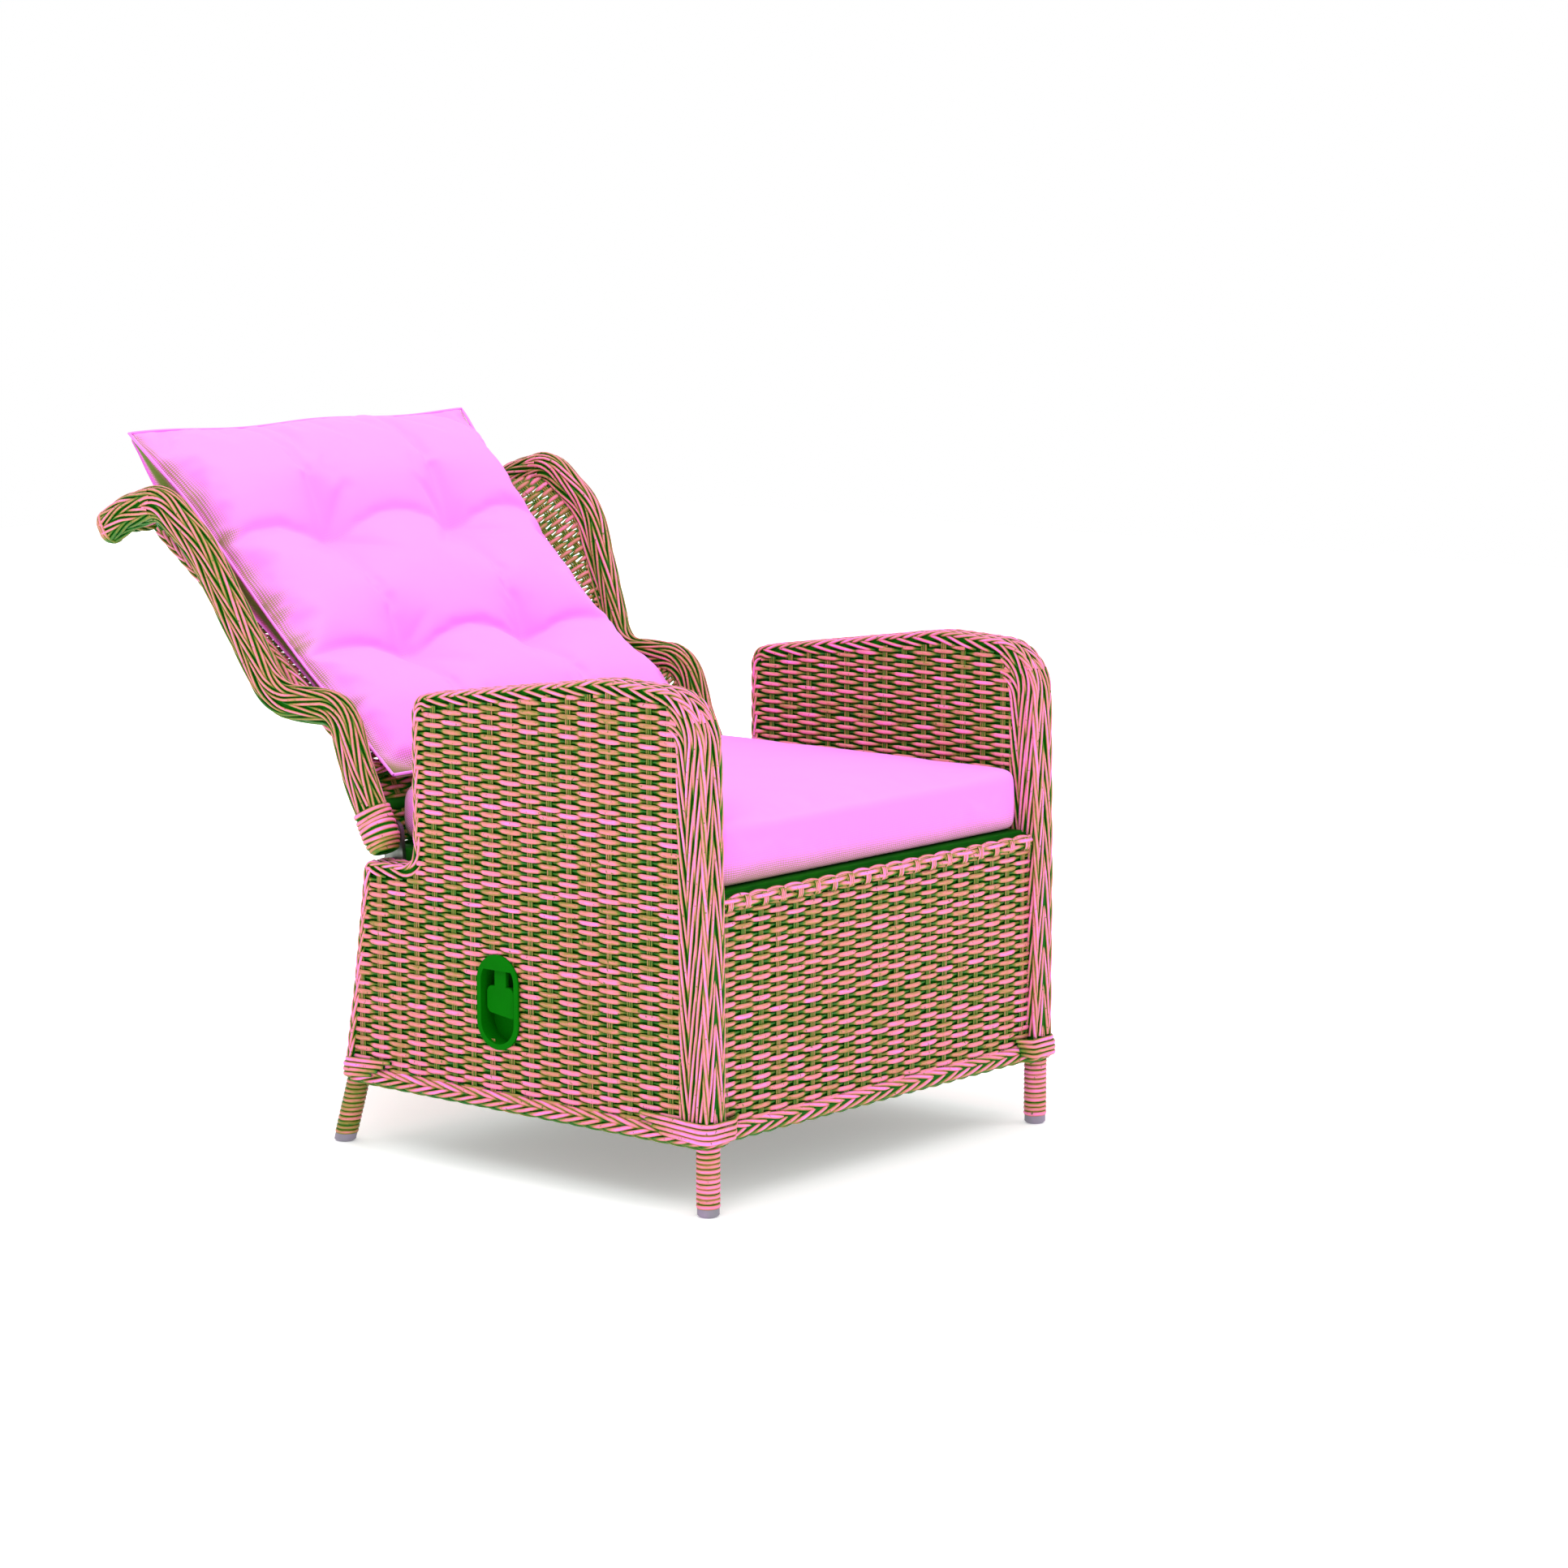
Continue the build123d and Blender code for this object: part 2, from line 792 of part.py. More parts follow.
# Back rails: thick braided jackets on bent tubes, curling back into the ears
halvings = 24
back_tube_radius = back_tube_diameter / 2
eye_radius = hinge_eye_diameter / 2
border_radius = border_diameter / 2
top_border_radius = top_border_diameter / 2
pin_radius = hinge_pin_diameter / 2
bush_radius = hinge_bush_diameter / 2
hinge_centre = (hinge_depth, hinge_height)
rail_centre_line = rail_line(0, rail_start)
top_tube_along = scroll_along + (ear_tip_along - scroll_along) * top_tube_share
top_tube_out = scroll_out + (ear_tip_out - scroll_out) * top_tube_share
panel_slope = (top_tube_out - panel_foot_out) / (top_tube_along - panel_foot_along)


def panel_out(along):
    """How far out the middle of the back panel is, at one place along the back."""
    return panel_foot_out + (along - panel_foot_along) * panel_slope


def panel_plane(out=0):
    """The back panel's plane, from its foot: x across the chair, y up along the panel."""
    lean = radians(back_angle) + atan2(panel_slope, 1)
    depth, height = back_point(panel_foot_along, panel_foot_out)
    depth = depth - out * sin(lean)
    height = height + out * cos(lean)
    return Plane(
        origin=(0, depth - depth_centre, height),
        x_dir=(1, 0, 0),
        z_dir=(0, -sin(lean), cos(lean)),
    )


def panel_section_plane(rise):
    """A plane across the panel at one rise from its foot: x across, y out in front."""
    lean = radians(back_angle) + atan2(panel_slope, 1)
    depth, height = back_point(panel_foot_along, panel_foot_out)
    depth = depth + rise * cos(lean)
    height = height + rise * sin(lean)
    return Plane(
        origin=(0, depth - depth_centre, height),
        x_dir=(1, 0, 0),
        z_dir=(0, -cos(lean), -sin(lean)),
    )


panel_length = (top_tube_along - panel_foot_along) * (1 + panel_slope**2) ** 0.5
lower_tube_along = panel_foot_along + lower_tube_rise
lower_tube_out = panel_out(lower_tube_along)
stub_radius = stub_diameter / 2
rail_tube_space = {
    hand: tube_bend(
        rail_line(hand, eye_radius / 2, ear_end_wall), back_tube_radius + fit_gap
    ).part
    for hand in (-1, 1)
}
waist_stub_out = (panel_out(waist_along) + rail_out(waist_along)) / 2
hinge_tube_centre = back_point(lever_tube_along, 0)
lower_tube_centre = back_point(lower_tube_along, lower_tube_out)
waist_stub_centre = back_point(waist_along, waist_stub_out)
top_tube_centre = back_point(top_tube_along, top_tube_out)
panel_tube_bottom = lower_tube_rise + lower_tube_radius + fit_gap
panel_tube_top = panel_length - lower_tube_radius - fit_gap


def panel_post(hand, bottom, top, outer, inner=0):
    """A round bar or tube up one side of the back panel, between two rises from its foot."""
    with BuildPart() as post:
        with BuildSketch(panel_section_plane(bottom)):
            with Locations((hand * panel_tube_offset, 0)):
                Circle(outer)
                if inner:
                    Circle(inner, mode=Mode.SUBTRACT)
        extrude(amount=bottom - top)
    return post


cross_tube_spaces = [
    cross_bar(centre, -reach, reach, radius + fit_gap).part
    for centre, reach, radius in (
        (hinge_tube_centre, rail_offset, lower_tube_radius),
        (lower_tube_centre, rail_offset, lower_tube_radius),
        (waist_stub_centre, rail_offset, stub_radius),
        (top_tube_centre, ear_offset, lower_tube_radius),
    )
]
panel_tube_spaces = [
    panel_post(hand, panel_tube_bottom, panel_tube_top, lower_tube_radius + fit_gap).part
    for hand in (-1, 1)
]
rail_space = {}

for side, hand in (("right", -1), ("left", 1)):
    # Room for the inner ends of the cross tubes, on this side of the rail's tube
    inner_side = []
    for space in cross_tube_spaces:
        with BuildPart() as inner_half:
            add(space)
            split(bisect_by=Plane.YZ, keep=Keep.TOP if hand > 0 else Keep.BOTTOM)
        inner_side.append(inner_half.part)

    # Braided jacket on that tube, closed and rounded at the ear's tip
    line = rail_line(hand, rail_start)
    with BuildPart() as rail_outer:
        with BuildSketch(section_at(line)):
            SlotOverall(rail_depth, rail_thickness, rotation=90)
        sweep(path=line)
        tip = rail_outer.faces().sort_by_distance(line @ 1)[0]
        fillet(tip.edges(), radius=ear_end_round)
    with BuildPart() as back_rail:
        add(rail_outer.part)
        add(rail_tube_space[hand], mode=Mode.SUBTRACT)
        for space in inner_side:
            add(space, mode=Mode.SUBTRACT)
    keep(back_rail, f"{side}_back_rail")
    with BuildPart() as around_rail:
        with BuildSketch(section_at(line)):
            SlotOverall(rail_depth + 2 * fit_gap, rail_thickness + 2 * fit_gap, rotation=90)
        sweep(path=line)
    rail_space[hand] = around_rail.part

# Bent tubes inside the rails, from the hinge eyes to the ears
back_tube = tube_bend(
    rail_line(1, eye_radius + fit_gap, ear_end_wall),
    back_tube_radius,
    back_tube_radius - back_tube_wall,
)
keep_pair(back_tube, "back_tubes")

# Cross tubes of the back, cut to the rails' tubes at their ends
for name, centre, reach in (
    ("back_cross_tube", hinge_tube_centre, rail_offset),
    ("back_lower_tube", lower_tube_centre, rail_offset),
    ("back_top_tube", top_tube_centre, ear_offset),
):
    with BuildPart() as cross_tube:
        add(
            cross_bar(
                centre, -reach, reach, lower_tube_radius, lower_tube_radius - back_tube_wall
            ).part
        )
        for space in rail_tube_space.values():
            add(space, mode=Mode.SUBTRACT)
    keep(cross_tube, name)

# Stubs that join the panel's side tubes to the rails at the waist
stub_near = panel_tube_offset + lower_tube_radius + fit_gap
with BuildPart() as waist_stub:
    add(cross_bar(waist_stub_centre, stub_near, rail_offset, stub_radius).part)
    add(rail_tube_space[1], mode=Mode.SUBTRACT)
keep_pair(waist_stub, "waist_stubs")

# Side tubes of the back panel, and the wound borders round all four edges
panel_bottom = lower_tube_rise + border_radius + fit_gap
panel_top = panel_length - top_border_radius - fit_gap
panel_tube = panel_post(
    1, panel_tube_bottom, panel_tube_top, lower_tube_radius, lower_tube_radius - back_tube_wall
)
keep_pair(panel_tube, "panel_tubes")
with BuildPart() as side_border:
    border = panel_post(1, panel_bottom, panel_top, border_radius, lower_tube_radius + fit_gap)
    add(border.part)
    add(cross_tube_spaces[2], mode=Mode.SUBTRACT)
keep_pair(side_border, "panel_side_borders")

for name, centre, reach, radius in (
    ("panel_lower_border", lower_tube_centre, rail_offset, border_radius),
    ("panel_top_border", top_tube_centre, ear_offset, top_border_radius),
):
    far = reach - rail_thickness / 2 - fit_gap
    with BuildPart() as cross_border:
        add(cross_bar(centre, -far, far, radius, lower_tube_radius + fit_gap).part)
        for space in panel_tube_spaces:
            add(space, mode=Mode.SUBTRACT)
        for space in rail_space.values():
            add(space, mode=Mode.SUBTRACT)
    keep(cross_border, name)

# Woven back panel between the borders
panel_half = panel_tube_offset - border_radius - fit_gap
with BuildPart() as back_panel:
    with BuildSketch(panel_plane(-panel_thickness / 2)):
        with Locations((0, (panel_bottom + panel_top) / 2)):
            Rectangle(2 * panel_half, panel_top - panel_bottom)
    extrude(amount=panel_thickness)
keep(back_panel, "back_panel")

# Woven wings between the panel's border and the rail: closed below the waist, open weave above
for side, hand in (("right", -1), ("left", 1)):
    wing_parts = []
    for start, end in ((gusset_start, gusset_end), (wing_start, wing_end)):
        with BuildPart() as wing_part:
            for step in range(wing_steps + 1):
                along = start + (end - start) * step / wing_steps
                run = (rail_place(along) - panel_tube_offset, rail_out(along) - panel_out(along))
                length = (run[0] ** 2 + run[1] ** 2) ** 0.5
                skew_x = -run[1] / length * wing_thickness / 2 * hand
                skew_y = run[0] / length * wing_thickness / 2
                with BuildSketch(back_section_plane(along)):
                    with BuildLine():
                        Polyline(
                            (hand * panel_tube_offset + skew_x, panel_out(along) + skew_y),
                            (hand * rail_place(along) + skew_x, rail_out(along) + skew_y),
                            (hand * rail_place(along) - skew_x, rail_out(along) - skew_y),
                            (hand * panel_tube_offset - skew_x, panel_out(along) - skew_y),
                            close=True,
                        )
                    make_face()
            loft(ruled=True)
            add(rail_space[hand], mode=Mode.SUBTRACT)
            add(
                panel_post(hand, 0, panel_length * 2, border_radius + fit_gap).part,
                mode=Mode.SUBTRACT,
            )
            for space in cross_tube_spaces:
                add(space, mode=Mode.SUBTRACT)
        wing_parts.append(wing_part.part)
    with BuildPart() as wing:
        for part in wing_parts:
            add(part)
    keep(wing, f"{side}_wing")

# Back cushion: at each station up the panel, its back, side seam, valleys and crown
pad_rise_shares = [0, 0.045, 0.15, 0.295, 0.45, 0.63, 0.78, 0.92, 1]
pad_back_shares = [0.14, 0.12, 0.045, 0.045, 0.045, 0.045, 0.07, 0.32, 0.57]
pad_seam_shares = [0.2, 0.22, 0.21, 0.2, 0.27, 0.4, 0.53, 0.6, 0.66]
pad_valley_shares = [0.24, 0.41, 0.51, 0.35, 0.55, 0.64, 0.92, 0.86, 0.72]
pad_crown_shares = [0.27, 0.44, 0.58, 0.46, 0.64, 0.74, 1, 0.93, 0.75]
pad_width_shares = [0.962, 0.985, 1, 0.99, 0.995, 1, 1.015, 1.05, 1.08]
pad_tables = (
    pad_rise_shares,
    pad_back_shares,
    pad_seam_shares,
    pad_valley_shares,
    pad_crown_shares,
    pad_width_shares,
)
with BuildPart() as back_cushion:
    for rise_share, back_share, seam_share, valley_share, crown_share, width_share in zip(*pad_tables):
        half = pad_half_width * width_share
        flat = half - pad_flat_inset
        back = pad_thickness * back_share
        seam = pad_thickness * seam_share
        valley = pad_thickness * valley_share
        crown = pad_thickness * crown_share
        shoulder = (seam + 2 * crown) / 3
        tuft = tuft_spacing / 2
        side = (half + tuft) / 2
        with BuildSketch(panel_section_plane(pad_length * rise_share)):
            with BuildLine():
                Line((-flat, back), (flat, back))
                Line((flat, back), (half, seam))
                ThreePointArc((half, seam), (side + tuft / 3, shoulder), (tuft, valley))
                ThreePointArc((tuft, valley), (0, crown), (-tuft, valley))
                ThreePointArc((-tuft, valley), (-side - tuft / 3, shoulder), (-half, seam))
                Line((-half, seam), (-flat, back))
            make_face()
    loft()
keep(back_cushion, "back_cushion")


def hinge_side(hand, near, far):
    """The hinge's own side view at one of two offsets, and the way to the other."""
    start = min(hand * near, hand * far)
    return side_plane(start), far - near


def hinge_disc(hand, near, far, outer, inner=0):
    plane, thick = hinge_side(hand, near, far)
    with BuildPart() as disc:
        with BuildSketch(plane):
            with Locations(hinge_centre):
                Circle(outer)
                if inner:
                    Circle(inner, mode=Mode.SUBTRACT)
        extrude(amount=thick)
    return disc


# Hinges: a bracket on each seat tube, a headed pin, a spacer, a bush and an eye under a wound collar
eye_near = rail_offset - hinge_eye_width / 2
eye_far = rail_offset + hinge_eye_width / 2
collar_near = rail_offset - hinge_collar_width / 2
collar_far = rail_offset + hinge_collar_width / 2
bracket_near = seat_tube_face
bracket_far = seat_tube_face + hinge_bracket_thickness
head_far = eye_far + fit_gap + hinge_head_thickness
rail_rise = radians(back_angle) + rail_angle
foot_half = hinge_bracket_foot / 2
bracket_outline = [
    (hinge_depth - foot_half, seat_tube_foot),
    (hinge_depth + foot_half, seat_tube_foot),
    (hinge_depth + hinge_bracket_radius, hinge_height),
    (hinge_depth - hinge_bracket_radius, hinge_height),
]
with BuildPart() as bracket:
    plane, thick = hinge_side(1, bracket_near, bracket_far)
    with BuildSketch(plane):
        with BuildLine():
            Polyline(*bracket_outline, close=True)
        make_face()
        with Locations(hinge_centre):
            Circle(hinge_bracket_radius)
            Circle(pin_radius + hinge_running_gap, mode=Mode.SUBTRACT)
    extrude(amount=thick)
keep_pair(bracket, "hinge_brackets")

with BuildPart() as hinge_pin:
    add(hinge_disc(1, bracket_near, head_far, pin_radius).part)
    add(hinge_disc(1, eye_far + fit_gap, head_far, hinge_head_diameter / 2).part)
keep_pair(hinge_pin, "hinge_pins")

spacer = hinge_disc(
    1,
    bracket_far + fit_gap,
    eye_near - fit_gap,
    hinge_spacer_diameter / 2,
    pin_radius + hinge_running_gap,
)
keep_pair(spacer, "hinge_spacers")
bush = hinge_disc(
    1, eye_near, eye_far, bush_radius - hinge_running_gap, pin_radius + hinge_running_gap
)
keep_pair(bush, "hinge_bushes")

with BuildPart() as hinge_eye:
    add(hinge_disc(1, eye_near, eye_far, eye_radius).part)
    eye_plane = Plane(
        origin=(rail_offset, hinge_depth - depth_centre, hinge_height),
        x_dir=(1, 0, 0),
        z_dir=(0, cos(rail_rise), sin(rail_rise)),
    )
    with BuildSketch(eye_plane):
        Circle(back_tube_radius - back_tube_wall - fit_gap)
    extrude(amount=eye_radius + hinge_spigot_length)
    add(hinge_disc(1, eye_near, eye_far, bush_radius).part, mode=Mode.SUBTRACT)
keep_pair(hinge_eye, "hinge_eyes")

for side, hand in (("right", -1), ("left", 1)):
    plane, thick = hinge_side(hand, collar_near, collar_far)
    with BuildPart() as collar:
        with BuildSketch(plane):
            with Locations(hinge_centre):
                Circle(hinge_collar_radius)
                with Locations(Rotation(0, 0, degrees(rail_rise))):
                    with Locations(((rail_start - fit_gap) / 2, 0)):
                        Rectangle(rail_start - fit_gap, 2 * hinge_collar_radius)
        extrude(amount=thick)
        fillet(collar.edges().filter_by(GeomType.CIRCLE), radius=hinge_collar_round)
        add(rail_tube_space[hand], mode=Mode.SUBTRACT)
        bore = hinge_disc(hand, collar_near - fit_gap, head_far + fit_gap, eye_radius + fit_gap)
        add(bore.part, mode=Mode.SUBTRACT)
        add(cross_tube_spaces[0], mode=Mode.SUBTRACT)
    keep(collar, f"{side}_collar")

# Lever plate that pushes the gas spring, with its pin
half_travel = radians(upright_travel / 2)
lever_pin_radius = lever_pin_diameter / 2
pin_depth = hinge_depth - lever_radius * sin(half_travel)
pin_height = hinge_height - lever_radius * cos(half_travel)
spring_height = hinge_height - lever_radius * (1 + cos(half_travel)) / 2
spring_centre = (pin_depth - spring_length, spring_height)
with BuildPart() as spring_lever:
    with BuildSketch(side_plane(-lever_plate_thickness / 2)):
        with BuildSketch(mode=Mode.PRIVATE) as lever_ends:
            with Locations(hinge_tube_centre):
                Circle(lever_tube_round)
            with Locations((pin_depth, pin_height)):
                Circle(lever_plate_round)
        make_hull(lever_ends.sketch.edges())
        with Locations(hinge_tube_centre):
            Circle(lower_tube_radius + fit_gap, mode=Mode.SUBTRACT)
        with Locations((pin_depth, pin_height)):
            Circle(lever_pin_radius, mode=Mode.SUBTRACT)
    extrude(amount=lever_plate_thickness)
keep(spring_lever, "spring_lever")
lever_pin = cross_bar(
    (pin_depth, pin_height), -lever_pin_length / 2, lever_pin_length / 2, lever_pin_radius
)
keep(lever_pin, "spring_lever_pin")

# Gas spring cylinder: a tube closed by a gland, with a slotted clevis behind
cylinder_radius = spring_cylinder_diameter / 2
cylinder_rear = pin_depth - clevis_reach
cylinder_front = cylinder_rear - spring_cylinder_length
rod_radius = spring_rod_diameter / 2
cheek_near = lever_plate_thickness / 2 + clevis_gap
cheek_far = cheek_near + clevis_cheek
with BuildPart() as gas_spring_cylinder:
    with BuildSketch(cross_plane(cylinder_front)):
        with Locations((0, spring_height)):
            Circle(cylinder_radius)
    extrude(amount=cylinder_front - cylinder_rear)
    with BuildSketch(cross_plane(cylinder_front + spring_gland_length)):
        with Locations((0, spring_height)):
            Circle(cylinder_radius - spring_cylinder_wall)
    extrude(
        amount=cylinder_front + 2 * spring_gland_length - cylinder_rear, mode=Mode.SUBTRACT
    )
    with BuildSketch(cross_plane(cylinder_front)):
        with Locations((0, spring_height)):
            Circle(rod_radius + spring_running_gap)
    extrude(amount=-spring_gland_length, mode=Mode.SUBTRACT)
    for near in (-cheek_far, cheek_near):
        with BuildSketch(side_plane(near)):
            with Locations(((cylinder_rear + pin_depth + clevis_end) / 2, spring_height)):
                Rectangle(clevis_reach + clevis_end, clevis_height)
            with Locations((pin_depth, spring_height)):
                Rectangle(
                    lever_pin_diameter + 2 * clevis_slack,
                    lever_pin_diameter + 2 * clevis_play,
                    mode=Mode.SUBTRACT,
                )
        extrude(amount=clevis_cheek)
keep(gas_spring_cylinder, "gas_spring_cylinder")

# Gas spring rod and release head, pinned under the seat's middle cross tube
rod_rear = cylinder_front + spring_rod_inside
head_face = spring_centre[0] + head_rear
with BuildPart() as gas_spring_rod:
    with BuildSketch(cross_plane(head_face)):
        with Locations((0, spring_height)):
            Circle(rod_radius)
    extrude(amount=head_face - rod_rear)
    chamfer(gas_spring_rod.edges().group_by(Axis.Y)[-1], length=rod_radius / 5)
keep(gas_spring_rod, "gas_spring_rod")

with BuildPart() as release_head:
    with BuildSketch(side_plane(-head_width / 2)):
        with Locations((spring_centre[0] + (head_rear - head_front) / 2, spring_height)):
            RectangleRounded(head_front + head_rear, head_height, stub_radius / 2)
        with Locations(spring_centre):
            Circle(lever_pin_radius + hinge_running_gap, mode=Mode.SUBTRACT)
    extrude(amount=head_width)
keep(release_head, "release_head")

ear_near = head_width / 2 + fit_gap
ear_far = ear_near + spring_ear
spring_tube_rear = spring_tube_front + cross_tube_depth
with BuildPart() as spring_bracket:
    for near in (-ear_far, ear_near):
        with BuildSketch(side_plane(near)):
            with BuildSketch(mode=Mode.PRIVATE) as ear_ends:
                with Locations(spring_centre):
                    Circle(spring_ear_round)
                with Locations((spring_tube_rear - spring_ear_round, seat_tube_foot)):
                    Rectangle(2 * spring_ear_round, spring_ear)
            make_hull(ear_ends.sketch.edges())
            with Locations(spring_centre):
                Circle(lever_pin_radius + hinge_running_gap, mode=Mode.SUBTRACT)
        extrude(amount=spring_ear)
    split(bisect_by=Plane.XY.offset(seat_tube_foot - fit_gap), keep=Keep.BOTTOM)
keep(spring_bracket, "spring_bracket")
spring_pin_half = ear_far + spring_pin_overhang
keep(cross_bar(spring_centre, -spring_pin_half, spring_pin_half, lever_pin_radius), "spring_pin")

# Release lever's oval bezel in the right panel: a flange, a cup and a pocket below its hinge block
bezel_centre = (bezel_centre_depth, bezel_centre_height)
bezel_top = bezel_centre_height + bezel_height / 2
flange_back = half_width - weave_recess
flange_front = flange_back + bezel_flange
pocket_ceiling = bezel_top - pocket_top
cup_inset = bezel_lip + fit_gap
cavity_inset = cup_inset + bezel_wall
cavity_depth = bezel_flange + bezel_depth - bezel_wall
axle_offset = flange_back - paddle_front_gap - paddle_thickness / 2
axle_height = pocket_ceiling + lever_axis_rise
axle_radius = lever_axle_diameter / 2


def axle_plane(depth):
    """A plane across the lever's axle at one depth, centred on the axle."""
    return Plane(
        origin=(-axle_offset, depth - depth_centre, axle_height),
        x_dir=(1, 0, 0),
        z_dir=(0, -1, 0),
    )


with BuildPart() as lever_bezel:
    with BuildSketch(side_plane(-flange_front)):
        with Locations(bezel_centre):
            SlotOverall(bezel_height, bezel_width, rotation=90)
    extrude(amount=bezel_flange)
    fillet(lever_bezel.faces().sort_by(Axis.X)[0].edges(), radius=bezel_flange / 3)
    with BuildSketch(side_plane(-flange_back)):
        with Locations(bezel_centre):
            SlotOverall(bezel_height - 2 * cup_inset, bezel_width - 2 * cup_inset, rotation=90)
    extrude(amount=bezel_depth)
    with BuildSketch(side_plane(-flange_front)):
        with Locations(bezel_centre):
            SlotOverall(
                bezel_height - 2 * cavity_inset, bezel_width - 2 * cavity_inset, rotation=90
            )
            with Locations((0, -pocket_top)):
                Rectangle(bezel_width, bezel_height, mode=Mode.INTERSECT)
    extrude(amount=cavity_depth, mode=Mode.SUBTRACT)
    with BuildSketch(side_plane(-flange_back)):
        with Locations((bezel_centre_depth, pocket_ceiling)):
            Rectangle(stem_slot_width, 2 * stem_slot_height)
    extrude(amount=cavity_depth - bezel_flange, mode=Mode.SUBTRACT)
    with BuildSketch(axle_plane(bezel_centre_depth)):
        Circle(axle_radius + lever_axle_gap)
    extrude(amount=lever_axle_length / 2 + fit_gap, both=True, mode=Mode.SUBTRACT)
keep(lever_bezel, "lever_bezel")

with BuildPart() as lever_axle:
    with BuildSketch(axle_plane(bezel_centre_depth)):
        Circle(axle_radius)
    extrude(amount=lever_axle_length / 2, both=True)
keep(lever_axle, "lever_axle")

# Release lever: a stem on the axle that widens to a paddle with a slanted lower edge
paddle_top = bezel_top - paddle_top_drop
paddle_bottom = paddle_top - paddle_height
paddle_half = paddle_width / 2
paddle_outline = [
    (bezel_centre_depth - paddle_half, paddle_top),
    (bezel_centre_depth + paddle_half, paddle_top),
    (bezel_centre_depth + paddle_half, paddle_bottom + paddle_slant),
    (bezel_centre_depth - paddle_half, paddle_bottom),
]
with BuildPart() as release_lever:
    with BuildSketch(side_plane(-axle_offset - paddle_thickness / 2)):
        with BuildLine():
            FilletPolyline(
                *paddle_outline,
                radius=[paddle_round, paddle_round, paddle_round, paddle_round / 3],
                close=True,
            )
        make_face()
        with Locations((bezel_centre_depth, (axle_height + paddle_top - paddle_round) / 2)):
            Rectangle(stem_width, axle_height - paddle_top + paddle_round)
    extrude(amount=paddle_thickness)
    fillet(
        release_lever.faces().sort_by(Axis.X)[0].edges(),
        radius=paddle_thickness / 4,
    )
    with BuildSketch(axle_plane(bezel_centre_depth)):
        Circle(stem_boss_radius)
    extrude(amount=stem_width / 2, both=True)
    with BuildSketch(axle_plane(bezel_centre_depth)):
        Circle(axle_radius + lever_axle_gap)
    extrude(amount=stem_width, both=True, mode=Mode.SUBTRACT)
keep(release_lever, "release_lever")

# Release cable, held all the way from the bezel to the release head, and its clips
cable_start = (
    -flange_back + bezel_depth + fit_gap,
    bezel_centre_depth,
    bezel_top - cable_exit_drop,
)
cable_end = (-head_width / 2 - fit_gap, spring_centre[0] - cable_inlet_lead, spring_height)
clip_depth = spring_tube_front + cross_tube_depth / 2
cable_route = [
    cable_start,
    (-278.0, bezel_centre_depth, 256.0),
    (-240.0, bezel_centre_depth - 8.0, 285.0),
    (-218.0, clip_depth + 11.1, seat_tube_foot - 39.0),
    (-186.0, clip_depth - 0.9, seat_tube_foot - 10.0),
    (-136.0, clip_depth - 2.9, seat_tube_foot - 6.5),
    (-86.0, clip_depth - 2.5, seat_tube_foot - 8.0),
    (-46.0, clip_depth - 3.5, seat_tube_foot - 17.0),
    cable_end,
]
cable_points = [Vector(x, y - depth_centre, z) for x, y, z in cable_route]
cable_runs = [after - before for before, after in zip(cable_points, cable_points[1:])]
cable_radii = [
    cable_bend_share * min(run.length, after.length) / tan(radians(run.get_angle(after) / 2))
    for run, after in zip(cable_runs, cable_runs[1:])
]
with BuildLine() as cable_line:
    FilletPolyline(*cable_points, radius=cable_radii)
cable_plane = Plane(origin=cable_line.line @ 0, z_dir=cable_line.line % 0)
with BuildPart() as release_cable:
    with BuildSketch(cable_plane):
        Circle(cable_diameter / 2)
    sweep(path=cable_line.line)
with BuildPart() as cable_space:
    with BuildSketch(cable_plane):
        Circle(cable_diameter / 2 + fit_gap)
    sweep(path=cable_line.line)
keep(release_cable, "release_cable")
with BuildPart() as cable_clips:
    for offset in clip_offsets:
        with BuildSketch(Plane.YZ.offset(-offset)):
            with Locations((clip_depth - depth_centre, 0)):
                with Locations((0, seat_tube_foot - fit_gap - clip_height / 2)):
                    RectangleRounded(clip_reach * 2, clip_height, clip_reach / 2)
        extrude(amount=clip_width)
    add(cable_space.part, mode=Mode.SUBTRACT)
keep(cable_clips, "cable_clips")
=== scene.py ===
import json
import math
from math import pi

